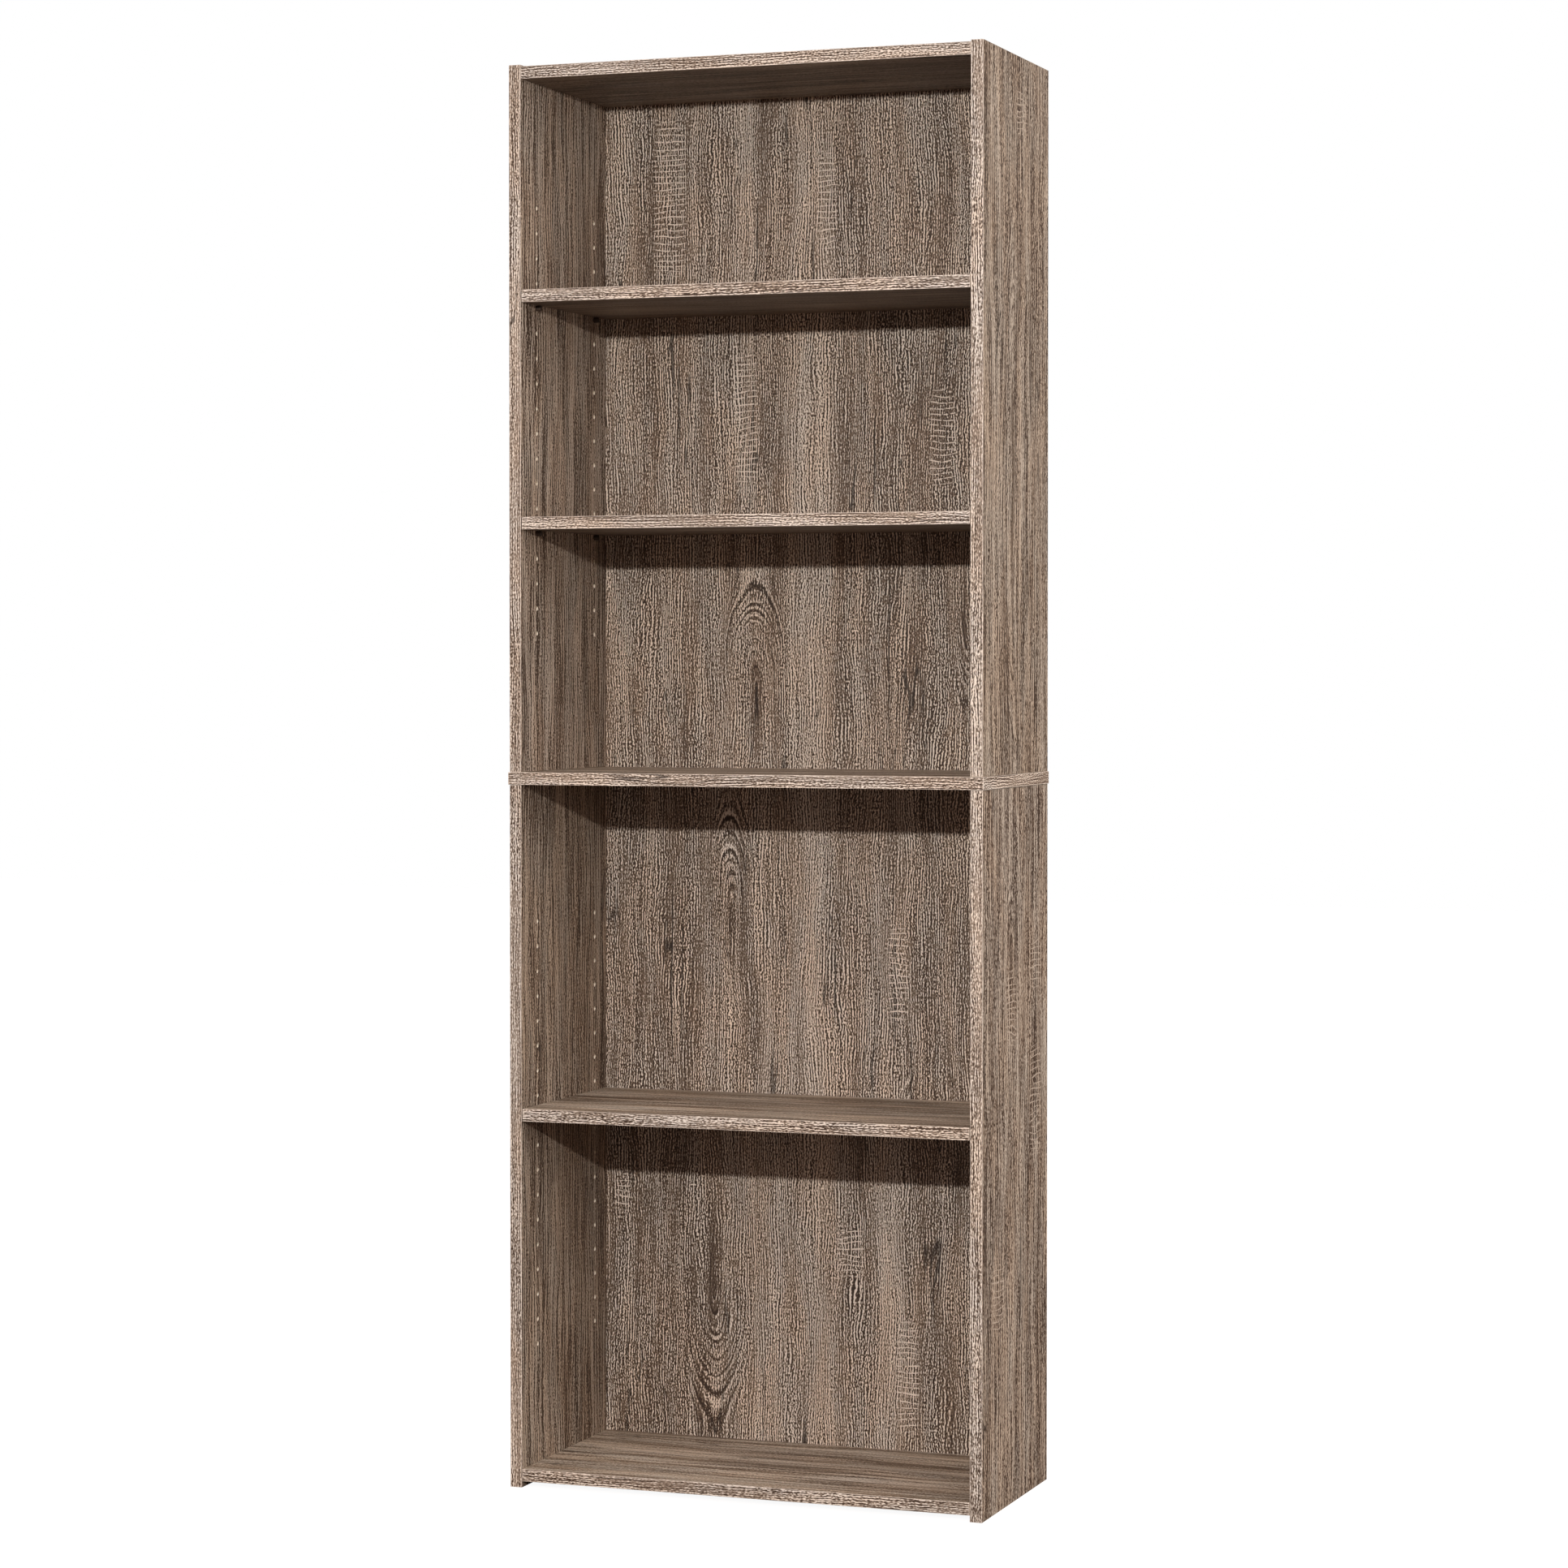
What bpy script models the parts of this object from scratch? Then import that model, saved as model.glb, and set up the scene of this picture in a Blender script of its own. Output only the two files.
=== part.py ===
"""Two-section open bookcase with adjustable shelves, flat-pack chipboard construction.

Frame: metres, +Z up, X across the width, -Y towards the open front. The origin is on the
floor, at the centre of the footprint. Two pairs of side panels stand on each other with a
full-width fixed shelf between them. A top and a bottom panel run between the sides, thin
back boards close the rear, and three loose shelves rest on push-in pins.
"""

import math

import bmesh
import bpy
from mathutils import Vector

# ---------------------------------------------------------------- driving sizes
BODY_WIDTH = 0.630          # over the outer faces of the side panels
BODY_DEPTH = 0.280          # side panels, front edge to rear edge
SIDE_HEIGHT = 0.8967        # one side panel; two of them stand on each other
BOARD = 0.016               # thickness of every chipboard panel
BACK_BOARD = 0.003          # thickness of the two back boards

# fixed panels
FIXED_SHELF_OVERHANG = 0.0015   # past the sides and past the front
TOP_PANEL_DROP = 0.002          # top panel's upper face below the side tops
BOTTOM_PANEL_LIFT = 0.008       # bottom panel's underside above the floor
BACK_EDGE_INSET = 0.0015        # back boards' edges inside the carcass outline

# drilling for the shelf pins, the same on all four side panels
HOLE_PITCH = 0.032
HOLES_PER_COLUMN = 18
HOLE_FRONT_INSET = 0.0505       # front column, from the front edge
HOLE_REAR_INSET = 0.0405        # rear column, from the rear edge
HOLE_RADIUS = 0.0025
HOLE_DEPTH = 0.0095

# loose shelves: section they hang in, and the hole that carries them, counted from below
SHELF_SEATS = {
    "shelf_upper": ("upper", 13),
    "shelf_middle": ("upper", 4),
    "shelf_lower": ("lower", 9),
}
SHELF_END_CLEARANCE = 0.0008    # each end to the side panel
SHELF_REAR_CLEARANCE = 0.003    # rear edge to the carcass rear
SHELF_FRONT_RECESS = 0.0005     # front edge behind the sides' front edges

# push-in shelf pins
PIN_SHANK_CLEARANCE = 0.0001    # radial, shank in its hole
PIN_SHANK_LENGTH = 0.008
PIN_HEAD_RADIUS = 0.0035
PIN_HEAD_LENGTH = 0.0065
PIN_HEAD_CHAMFER = 0.0008

# cam fittings of the top and bottom panels
CAM_EDGE_INSET = 0.060          # fitting's centre from the front and rear edges
CAM_END_INSET = 0.034           # cam's centre from the panel's end
CAM_RADIUS = 0.0075
CAM_HEIGHT = 0.0125
CAM_SLOT_HALF = 0.0042          # half width and half height of the slot for the bolt's head
CAM_SLOT_BACK = 0.0035          # slot's far wall past the cam's centre
CAM_CROSS_LENGTH = 0.009
CAM_CROSS_WIDTH = 0.0016
CAM_CROSS_DEPTH = 0.0016
BOLT_THREAD_RADIUS = 0.0030
BOLT_THREAD_LENGTH = 0.0105
BOLT_SHAFT_RADIUS = 0.0031
BOLT_NECK_RADIUS = 0.0020
BOLT_NECK_LENGTH = 0.0045
BOLT_HEAD_RADIUS = 0.0034
BOLT_HEAD_FRONT = 0.0030        # head's near end, before the cam's centre
BOLT_HEAD_LENGTH = 0.0052

# wooden dowels
DOWEL_RADIUS = 0.004
DOWEL_LENGTH = 0.030
DOWEL_SEAT = 0.0105             # depth in the face of the board it locates on
DOWEL_CHAMFER = 0.001
FIXED_DOWEL_INSET = 0.095       # fixed shelf's dowels from the front and rear edges

# one-piece connector screws, down through the fixed shelf into the lower sides
SCREW_INSET = 0.050             # from the front and rear edges
SCREW_SINK = 0.0005             # head's top under the fixed shelf's upper face
SCREW_HEAD_RADIUS = 0.00475
SCREW_HEAD_LENGTH = 0.003
SCREW_NECK_RADIUS = 0.0034
SCREW_NECK_STOP = 0.002         # neck's lower end above the fixed shelf's underside
SCREW_THREAD_RADIUS = 0.0030
SCREW_LENGTH = 0.050

# back board nails
NAIL_END_INSET = 0.060          # from the ends of each side panel
NAIL_RADIUS = 0.0008
NAIL_HEAD_RADIUS = 0.002
NAIL_HEAD_THICKNESS = 0.0007
NAIL_LENGTH = 0.022

# clearances
GAP = 0.0003                    # between pieces that touch, and around pieces in their bores
BORE_SPARE = 0.001              # bore depth past the end of what sits in it
OVERCUT = 0.002                 # how far a cutter stands out of the face it enters

# facets of round shapes
PIN_FACETS = 8
CAM_FACETS = 16
BOLT_FACETS = 8
NAIL_FACETS = 6

# ---------------------------------------------------------------- derived places
SIDE_NAMES = {-1: "left", 1: "right"}
TOTAL_DEPTH = FIXED_SHELF_OVERHANG + BODY_DEPTH + GAP + BACK_BOARD
FRONT = FIXED_SHELF_OVERHANG - TOTAL_DEPTH / 2
REAR = FRONT + BODY_DEPTH
OUTER_X = BODY_WIDTH / 2
INNER_X = OUTER_X - BOARD
PANEL_HALF_LENGTH = INNER_X - GAP
FIXED_SHELF_UNDERSIDE = SIDE_HEIGHT + GAP
FIXED_SHELF_TOP = FIXED_SHELF_UNDERSIDE + BOARD
SECTION_BASE = {"lower": 0.0, "upper": FIXED_SHELF_TOP + GAP}
CARCASS_TOP = SECTION_BASE["upper"] + SIDE_HEIGHT
TOP_PANEL_UNDERSIDE = CARCASS_TOP - TOP_PANEL_DROP - BOARD
CAM_ROWS = {"front": FRONT + CAM_EDGE_INSET, "rear": REAR - CAM_EDGE_INSET}
HOLE_COLUMNS = {"front": FRONT + HOLE_FRONT_INSET, "rear": REAR - HOLE_REAR_INSET}
DOWEL_ROWS = {"front": FRONT + FIXED_DOWEL_INSET, "rear": REAR - FIXED_DOWEL_INSET}
SCREW_ROWS = {"front": FRONT + SCREW_INSET, "rear": REAR - SCREW_INSET}
MID_Y = (FRONT + REAR) / 2

UP = Vector((0, 0, 1))
DOWN = -UP
FORWARD = Vector((0, -1, 0))


def outward(side):
    """Unit vector from the middle of the bookcase towards one side panel."""
    return Vector((side, 0, 0))


def hole_height(section, index):
    """Height of one pin hole; the columns are centred on their side panel."""
    span = (HOLES_PER_COLUMN - 1) * HOLE_PITCH
    return SECTION_BASE[section] + (SIDE_HEIGHT - span) / 2 + index * HOLE_PITCH


# ---------------------------------------------------------------- building helpers
def clear_scene():
    """Remove whatever the scene holds."""
    for item in list(bpy.data.objects):
        bpy.data.objects.remove(item, do_unlink=True)


def make_material(name, colour, roughness, metallic=0.0):
    """A plain Principled material."""
    material = bpy.data.materials.new(name)
    material.use_nodes = True
    shader = material.node_tree.nodes["Principled BSDF"]
    shader.inputs["Base Color"].default_value = (*colour, 1.0)
    shader.inputs["Roughness"].default_value = roughness
    shader.inputs["Metallic"].default_value = metallic
    return material


def make_object(name, shape, location, material=None):
    """Turn a bmesh, drawn around its own origin, into a named object at its place."""
    mesh = bpy.data.meshes.new(name)
    shape.to_mesh(mesh)
    shape.free()
    item = bpy.data.objects.new(name, mesh)
    item.location = location
    if material:
        mesh.materials.append(material)
    bpy.context.scene.collection.objects.link(item)
    return item


def make_board(name, low, high, material):
    """A rectangular board between two opposite corners, with its origin at its middle."""
    low = Vector(low)
    high = Vector(high)
    shape = bmesh.new()
    bmesh.ops.create_cube(shape, size=1.0)
    bmesh.ops.scale(shape, vec=high - low, verts=shape.verts)
    return make_object(name, shape, (low + high) / 2, material)


def add_turned(shape, stations, start, axis, facets):
    """Add a closed turned body to a bmesh.

    Each station is a distance along the axis from start and a radius there. The facets'
    flats lie on the stated radius, with one flat facing up.
    """
    turn = axis.to_track_quat("Z", "Y")
    corner = 1.0 / math.cos(math.pi / facets)
    rings = []
    for distance, radius in stations:
        ring = []
        for step in range(facets):
            angle = (step + 0.5) * 2 * math.pi / facets
            across = Vector((math.cos(angle), math.sin(angle), 0)) * radius * corner
            ring.append(shape.verts.new(start + turn @ (across + UP * distance)))
        rings.append(ring)
    shape.faces.new(reversed(rings[0]))
    for ring, following in zip(rings, rings[1:]):
        for step in range(facets):
            after = (step + 1) % facets
            shape.faces.new((ring[step], ring[after], following[after], following[step]))
    shape.faces.new(rings[-1])


def make_turned(name, stations, start, axis, facets, material):
    """A turned piece as its own object, with its origin at the start of its axis."""
    shape = bmesh.new()
    add_turned(shape, stations, Vector(), axis, facets)
    return make_object(name, shape, start, material)


def add_box(shape, low, high):
    """Add a box between two corners to a bmesh."""
    made = bmesh.ops.create_cube(shape, size=1.0)["verts"]
    bmesh.ops.scale(shape, vec=high - low, verts=made)
    bmesh.ops.translate(shape, vec=(low + high) / 2, verts=made)


def bore(mouth, axis, radius, depth, facets=BOLT_FACETS):
    """A straight bore: where it enters, which way it goes, and its size."""
    return {
        "stations": ((-OVERCUT, radius), (depth, radius)),
        "start": Vector(mouth),
        "axis": axis,
        "facets": facets,
    }


def cut(item, cutter_name, shape):
    """Subtract a bmesh, drawn in world coordinates, from an object."""
    cutter = make_object(cutter_name, shape, (0, 0, 0))
    cutter.hide_render = True
    cutter.display_type = "WIRE"
    modifier = item.modifiers.new(cutter_name, "BOOLEAN")
    modifier.operation = "DIFFERENCE"
    modifier.solver = "EXACT"
    modifier.object = cutter


def drill(item, cutter_name, bores):
    """Cut a group of bores that don't meet each other."""
    shape = bmesh.new()
    for hole in bores:
        add_turned(shape, **hole)
    cut(item, cutter_name, shape)


# ---------------------------------------------------------------- fittings
def cam_bolt(name, side, y, z, material):
    """Bolt screwed into a side panel, with its ball head inside the cam."""
    cam_centre = GAP + CAM_END_INSET
    head_start = cam_centre - BOLT_HEAD_FRONT
    neck_start = head_start - BOLT_NECK_LENGTH
    stations = (
        (-BOLT_THREAD_LENGTH, BOLT_THREAD_RADIUS),
        (0.0, BOLT_THREAD_RADIUS),
        (0.0, BOLT_SHAFT_RADIUS),
        (neck_start, BOLT_SHAFT_RADIUS),
        (neck_start, BOLT_NECK_RADIUS),
        (head_start, BOLT_NECK_RADIUS),
        (head_start, BOLT_HEAD_RADIUS),
        (head_start + BOLT_HEAD_LENGTH, BOLT_HEAD_RADIUS),
    )
    start = Vector((side * INNER_X, y, z))
    make_turned(name, stations, start, -outward(side), BOLT_FACETS, material)


def cam_lock(name, side, y, face_z, opening, material):
    """Cam that pulls the bolt's head; opening points out of the pocket's mouth."""
    centre = Vector((side * (PANEL_HALF_LENGTH - CAM_END_INSET), y, face_z))
    cap = centre - opening * GAP
    cam = make_turned(name, ((0.0, CAM_RADIUS), (CAM_HEIGHT, CAM_RADIUS)), cap, -opening,
                      CAM_FACETS, material)

    slot = bmesh.new()
    slot_middle = centre - opening * (BOARD / 2)
    back = slot_middle - outward(side) * CAM_SLOT_BACK
    mouth = slot_middle + outward(side) * (CAM_RADIUS + OVERCUT)
    half = Vector((0, CAM_SLOT_HALF, CAM_SLOT_HALF))
    low_x = min(back.x, mouth.x)
    high_x = max(back.x, mouth.x)
    add_box(slot, Vector((low_x, y, slot_middle.z)) - half, Vector((high_x, y, slot_middle.z)) + half)
    cut(cam, name + "_slot_cutter", slot)

    for direction, (long_x, long_y) in {"x": (1, 0), "y": (0, 1)}.items():
        recess = bmesh.new()
        reach = Vector((
            (CAM_CROSS_LENGTH if long_x else CAM_CROSS_WIDTH) / 2,
            (CAM_CROSS_LENGTH if long_y else CAM_CROSS_WIDTH) / 2,
            CAM_CROSS_DEPTH,
        ))
        add_box(recess, cap - reach, cap + reach)
        cut(cam, name + "_cross_cutter_" + direction, recess)


def dowel(name, middle, axis, material):
    """Grooveless dowel; middle is where the two boards meet."""
    stations = (
        (-DOWEL_SEAT, DOWEL_RADIUS - DOWEL_CHAMFER),
        (-DOWEL_SEAT + DOWEL_CHAMFER, DOWEL_RADIUS),
        (DOWEL_LENGTH - DOWEL_SEAT - DOWEL_CHAMFER, DOWEL_RADIUS),
        (DOWEL_LENGTH - DOWEL_SEAT, DOWEL_RADIUS - DOWEL_CHAMFER),
    )
    make_turned(name, stations, middle, axis, BOLT_FACETS, material)


# ---------------------------------------------------------------- boards
def side_panel(section, side, material):
    """One of the four side panels, with its pin holes and fastener bores."""
    base = SECTION_BASE[section]
    inner = side * INNER_X
    outer = side * OUTER_X
    panel = make_board(
        f"side_{section}_{SIDE_NAMES[side]}",
        (min(inner, outer), FRONT, base),
        (max(inner, outer), REAR, base + SIDE_HEIGHT),
        material,
    )
    into = outward(side)
    bores = []
    for y in HOLE_COLUMNS.values():
        for index in range(HOLES_PER_COLUMN):
            mouth = (inner, y, hole_height(section, index))
            bores.append(bore(mouth, into, HOLE_RADIUS, HOLE_DEPTH, PIN_FACETS))

    fixed_z = BOTTOM_PANEL_LIFT + BOARD / 2
    if section == "upper":
        fixed_z = TOP_PANEL_UNDERSIDE + BOARD / 2
    for y in CAM_ROWS.values():
        depth = BOLT_THREAD_LENGTH + BORE_SPARE
        bores.append(bore((inner, y, fixed_z), into, BOLT_THREAD_RADIUS + GAP, depth))
    bores.append(bore((inner, MID_Y, fixed_z), into, DOWEL_RADIUS + GAP, DOWEL_SEAT + BORE_SPARE))

    end_x = side * (OUTER_X - BOARD / 2)
    if section == "upper":
        depth = DOWEL_LENGTH - DOWEL_SEAT + BORE_SPARE
        for y in DOWEL_ROWS.values():
            bores.append(bore((end_x, y, base), UP, DOWEL_RADIUS + GAP, depth))
    else:
        depth = SCREW_SINK + SCREW_LENGTH - BOARD - GAP + BORE_SPARE
        for y in SCREW_ROWS.values():
            mouth = (end_x, y, SIDE_HEIGHT)
            bores.append(bore(mouth, DOWN, SCREW_THREAD_RADIUS + GAP, depth))

    nail_depth = NAIL_LENGTH - BACK_BOARD + BORE_SPARE
    for z in nail_heights(section).values():
        bores.append(bore((end_x, REAR, z), FORWARD, NAIL_RADIUS + GAP, nail_depth, NAIL_FACETS))
    drill(panel, panel.name + "_bores", bores)


def end_panel(name, underside, opening, boards, metal, bolts, beech):
    """Top or bottom panel between the sides, with its cams, bolts and dowels.

    opening is the direction that the cam pockets face: up on the top panel, down on the
    bottom one, so neither shows from the shelves.
    """
    panel = make_board(
        name,
        (-PANEL_HALF_LENGTH, FRONT, underside),
        (PANEL_HALF_LENGTH, REAR, underside + BOARD),
        boards,
    )
    middle_z = underside + BOARD / 2
    pocket_z = middle_z + opening.z * BOARD / 2
    pockets = []
    ends = []
    for side, side_name in SIDE_NAMES.items():
        inward = -outward(side)
        for row, y in CAM_ROWS.items():
            cam_x = side * (PANEL_HALF_LENGTH - CAM_END_INSET)
            pocket_depth = GAP + CAM_HEIGHT + GAP
            pockets.append(bore((cam_x, y, pocket_z), -opening, CAM_RADIUS + GAP, pocket_depth, CAM_FACETS))
            end = (side * PANEL_HALF_LENGTH, y, middle_z)
            ends.append(bore(end, inward, BOLT_SHAFT_RADIUS + GAP, CAM_END_INSET))
            fitting = name.split("_")[0]
            cam_lock(f"{fitting}_cam_{row}_{side_name}", side, y, pocket_z, opening, metal)
            cam_bolt(f"{fitting}_cam_bolt_{row}_{side_name}", side, y, middle_z, bolts)
        depth = DOWEL_LENGTH - DOWEL_SEAT + BORE_SPARE
        ends.append(bore((side * PANEL_HALF_LENGTH, MID_Y, middle_z), inward, DOWEL_RADIUS + GAP, depth))
        joint = Vector((side * INNER_X, MID_Y, middle_z))
        dowel(f"{name.split('_')[0]}_dowel_{side_name}", joint, inward, beech)
    drill(panel, name + "_pockets", pockets)
    drill(panel, name + "_end_bores", ends)


def fixed_shelf(boards, steel, beech):
    """Full-width shelf between the two sections, with its screws and dowels."""
    shelf = make_board(
        "fixed_shelf",
        (-OUTER_X - FIXED_SHELF_OVERHANG, FRONT - FIXED_SHELF_OVERHANG, FIXED_SHELF_UNDERSIDE),
        (OUTER_X + FIXED_SHELF_OVERHANG, REAR, FIXED_SHELF_TOP),
        boards,
    )
    head_bores = []
    shank_bores = []
    neck_end = BOARD - SCREW_NECK_STOP - SCREW_SINK
    screw_stations = (
        (0.0, SCREW_HEAD_RADIUS),
        (SCREW_HEAD_LENGTH, SCREW_HEAD_RADIUS),
        (SCREW_HEAD_LENGTH, SCREW_NECK_RADIUS),
        (neck_end, SCREW_NECK_RADIUS),
        (neck_end, SCREW_THREAD_RADIUS),
        (SCREW_LENGTH, SCREW_THREAD_RADIUS),
    )
    for side, side_name in SIDE_NAMES.items():
        x = side * (OUTER_X - BOARD / 2)
        for row, y in SCREW_ROWS.items():
            top = Vector((x, y, FIXED_SHELF_TOP))
            head_depth = SCREW_SINK + SCREW_HEAD_LENGTH + GAP
            head_bores.append(bore(top, DOWN, SCREW_HEAD_RADIUS + GAP, head_depth))
            shank_bores.append(bore(top, DOWN, SCREW_NECK_RADIUS + GAP, BOARD + OVERCUT))
            name = f"connector_screw_{row}_{side_name}"
            start = top + DOWN * SCREW_SINK
            make_turned(name, screw_stations, start, DOWN, BOLT_FACETS, steel)
        for row, y in DOWEL_ROWS.items():
            top = Vector((x, y, FIXED_SHELF_TOP))
            head_bores.append(bore(top, DOWN, DOWEL_RADIUS + GAP, DOWEL_SEAT + BORE_SPARE))
            dowel(f"fixed_shelf_dowel_{row}_{side_name}", top, UP, beech)
    drill(shelf, "fixed_shelf_wide_bores", head_bores)
    drill(shelf, "fixed_shelf_shank_bores", shank_bores)


def nail_heights(section):
    """Heights of the corner nails in one section's back board."""
    base = SECTION_BASE[section]
    return {"low": base + NAIL_END_INSET, "high": base + SIDE_HEIGHT - NAIL_END_INSET}


def back_board(section, board, steel):
    """Thin board nailed on the rear edges, with its four corner nails."""
    middle = (FIXED_SHELF_UNDERSIDE + FIXED_SHELF_TOP) / 2
    low_z = BOTTOM_PANEL_LIFT + BACK_EDGE_INSET
    high_z = middle - GAP
    if section == "upper":
        low_z = middle + GAP
        high_z = CARCASS_TOP - TOP_PANEL_DROP - BACK_EDGE_INSET
    half_width = OUTER_X - BACK_EDGE_INSET
    face = REAR + GAP + BACK_BOARD
    panel = make_board(
        f"back_{section}",
        (-half_width, REAR + GAP, low_z),
        (half_width, face, high_z),
        board,
    )
    sinks = []
    shanks = []
    stations = (
        (0.0, NAIL_HEAD_RADIUS),
        (NAIL_HEAD_THICKNESS, NAIL_HEAD_RADIUS),
        (NAIL_HEAD_THICKNESS, NAIL_RADIUS),
        (NAIL_LENGTH - NAIL_RADIUS, NAIL_RADIUS),
        (NAIL_LENGTH, NAIL_RADIUS / 4),
    )
    for side, side_name in SIDE_NAMES.items():
        for level, z in nail_heights(section).items():
            mouth = Vector((side * (OUTER_X - BOARD / 2), face, z))
            sink_depth = NAIL_HEAD_THICKNESS + GAP
            sinks.append(bore(mouth, FORWARD, NAIL_HEAD_RADIUS + GAP, sink_depth, NAIL_FACETS))
            shanks.append(bore(mouth, FORWARD, NAIL_RADIUS + GAP, BACK_BOARD + OVERCUT, NAIL_FACETS))
            name = f"back_nail_{section}_{level}_{side_name}"
            make_turned(name, stations, mouth, FORWARD, NAIL_FACETS, steel)
    drill(panel, panel.name + "_sinks", sinks)
    drill(panel, panel.name + "_shank_holes", shanks)


# ---------------------------------------------------------------- loose shelves
def loose_shelf(name, section, index, boards, plastic):
    """One adjustable shelf with the four pins that carry it."""
    pin_z = hole_height(section, index)
    underside = pin_z + PIN_HEAD_RADIUS + GAP
    half_length = INNER_X - SHELF_END_CLEARANCE
    make_board(
        name,
        (-half_length, FRONT + SHELF_FRONT_RECESS, underside),
        (half_length, REAR - SHELF_REAR_CLEARANCE, underside + BOARD),
        boards,
    )
    stations = (
        (-PIN_SHANK_LENGTH, HOLE_RADIUS - PIN_SHANK_CLEARANCE),
        (GAP, HOLE_RADIUS - PIN_SHANK_CLEARANCE),
        (GAP, PIN_HEAD_RADIUS),
        (GAP + PIN_HEAD_LENGTH - PIN_HEAD_CHAMFER, PIN_HEAD_RADIUS),
        (GAP + PIN_HEAD_LENGTH, PIN_HEAD_RADIUS - PIN_HEAD_CHAMFER),
    )
    for side, side_name in SIDE_NAMES.items():
        for row, y in HOLE_COLUMNS.items():
            start = Vector((side * INNER_X, y, pin_z))
            pin_name = f"{name}_pin_{row}_{side_name}"
            make_turned(pin_name, stations, start, -outward(side), PIN_FACETS, plastic)


def build():
    """Make every piece of the bookcase."""
    clear_scene()
    boards = make_material("oak_laminate", (0.27, 0.19, 0.14), 0.62)
    back = make_material("printed_back_board", (0.25, 0.18, 0.13), 0.7)
    plastic = make_material("brown_pin_plastic", (0.045, 0.028, 0.018), 0.5)
    zinc = make_material("cam_zinc", (0.50, 0.50, 0.49), 0.42, 1.0)
    bolts = make_material("bolt_steel", (0.55, 0.54, 0.52), 0.35, 1.0)
    steel = make_material("screw_steel", (0.56, 0.53, 0.45), 0.33, 1.0)
    beech = make_material("dowel_beech", (0.60, 0.42, 0.26), 0.75)

    for section in SECTION_BASE:
        for side in SIDE_NAMES:
            side_panel(section, side, boards)
        back_board(section, back, steel)
    end_panel("top_panel", TOP_PANEL_UNDERSIDE, UP, boards, zinc, bolts, beech)
    end_panel("bottom_panel", BOTTOM_PANEL_LIFT, DOWN, boards, zinc, bolts, beech)
    fixed_shelf(boards, steel, beech)
    for name, (section, index) in SHELF_SEATS.items():
        loose_shelf(name, section, index, boards, plastic)


build()
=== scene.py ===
# %% [markdown]
# # A bookcase with adjustable shelves, built around its CAD frame
# The real piece is a flat-pack bookcase: chipboard panels wrapped in a printed oak foil,
# two pairs of side panels standing on each other, thin printed back boards, and three
# loose shelves on push-in pins. The frame gives every place and size in metres, so no
# piece needs fitting by eye. This first step loads the frame and keeps its box.

# %% Load the frame
import math

import bpy
import numpy as np
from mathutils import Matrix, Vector


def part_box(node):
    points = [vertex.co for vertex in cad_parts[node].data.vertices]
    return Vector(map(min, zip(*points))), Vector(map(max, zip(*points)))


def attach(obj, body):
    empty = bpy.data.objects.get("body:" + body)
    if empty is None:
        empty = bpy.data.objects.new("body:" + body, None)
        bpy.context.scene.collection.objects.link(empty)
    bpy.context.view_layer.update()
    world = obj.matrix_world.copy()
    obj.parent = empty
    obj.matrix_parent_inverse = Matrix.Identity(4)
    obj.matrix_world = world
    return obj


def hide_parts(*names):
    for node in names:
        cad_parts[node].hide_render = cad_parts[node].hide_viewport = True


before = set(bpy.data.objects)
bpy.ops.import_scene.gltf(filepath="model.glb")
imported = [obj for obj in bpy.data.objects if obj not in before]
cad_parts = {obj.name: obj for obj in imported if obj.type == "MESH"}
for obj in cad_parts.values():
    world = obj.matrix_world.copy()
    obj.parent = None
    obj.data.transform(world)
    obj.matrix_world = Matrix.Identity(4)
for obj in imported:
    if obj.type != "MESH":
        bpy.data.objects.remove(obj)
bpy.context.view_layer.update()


# %% [markdown]
# ## Camera
# A long lens a few metres away keeps the uprights parallel, as tall furniture is usually
# shown. The camera looks very slightly down, and a small shift recentres the view, which
# is how a view camera holds verticals straight.

# %% Place the camera
CAMERA_PLACE = (1.76468, -4.79874, 1.05564)
CAMERA_YAW = -0.351417      # radians, turned left from looking straight at the back
CAMERA_PITCH = -0.019238
CAMERA_SHIFT = -0.03
SENSOR = 36.0               # millimetres, as is the lens
LENS = 91.8269


def add_camera():
    """Camera whose forward direction is given by a turn about Z and a tilt."""
    data = bpy.data.cameras.new("studio_camera")
    data.sensor_width = SENSOR
    data.lens = LENS
    data.shift_y = CAMERA_SHIFT
    data.clip_end = 50.0
    camera = bpy.data.objects.new("studio_camera", data)
    forward = Vector((
        math.sin(CAMERA_YAW) * math.cos(CAMERA_PITCH),
        math.cos(CAMERA_YAW) * math.cos(CAMERA_PITCH),
        math.sin(CAMERA_PITCH),
    ))
    camera.location = CAMERA_PLACE
    camera.rotation_euler = forward.to_track_quat("-Z", "Y").to_euler()
    bpy.context.scene.collection.objects.link(camera)
    bpy.context.scene.camera = camera
    print("lens", LENS, "mm, distance", round(Vector(CAMERA_PLACE).length, 3), "m")


add_camera()

# %% [markdown]
# ## Small helpers for node trees
# Materials are built from nodes. A socket wrapped as a Value can stand in a plain formula:
# each operator places one Math node, so every recipe below reads like the sum it makes.


# %% Node helpers
class Value:
    """An output socket that takes part in sums, in the tree that it belongs to."""

    def __init__(self, socket):
        self.socket = socket
        self.tree = socket.id_data

    def __add__(self, other):
        return maths("ADD", self, other)

    def __sub__(self, other):
        return maths("SUBTRACT", self, other)

    def __rsub__(self, other):
        return maths("SUBTRACT", other, self)

    def __mul__(self, other):
        return maths("MULTIPLY", self, other)

    def __truediv__(self, other):
        return maths("DIVIDE", self, other)

    def __pow__(self, other):
        return maths("POWER", self, other)

    def __abs__(self):
        return maths("ABSOLUTE", self)


def tree_of(*values):
    """The node tree of the first value that has one."""
    return next(value.tree for value in values if isinstance(value, Value))


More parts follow.
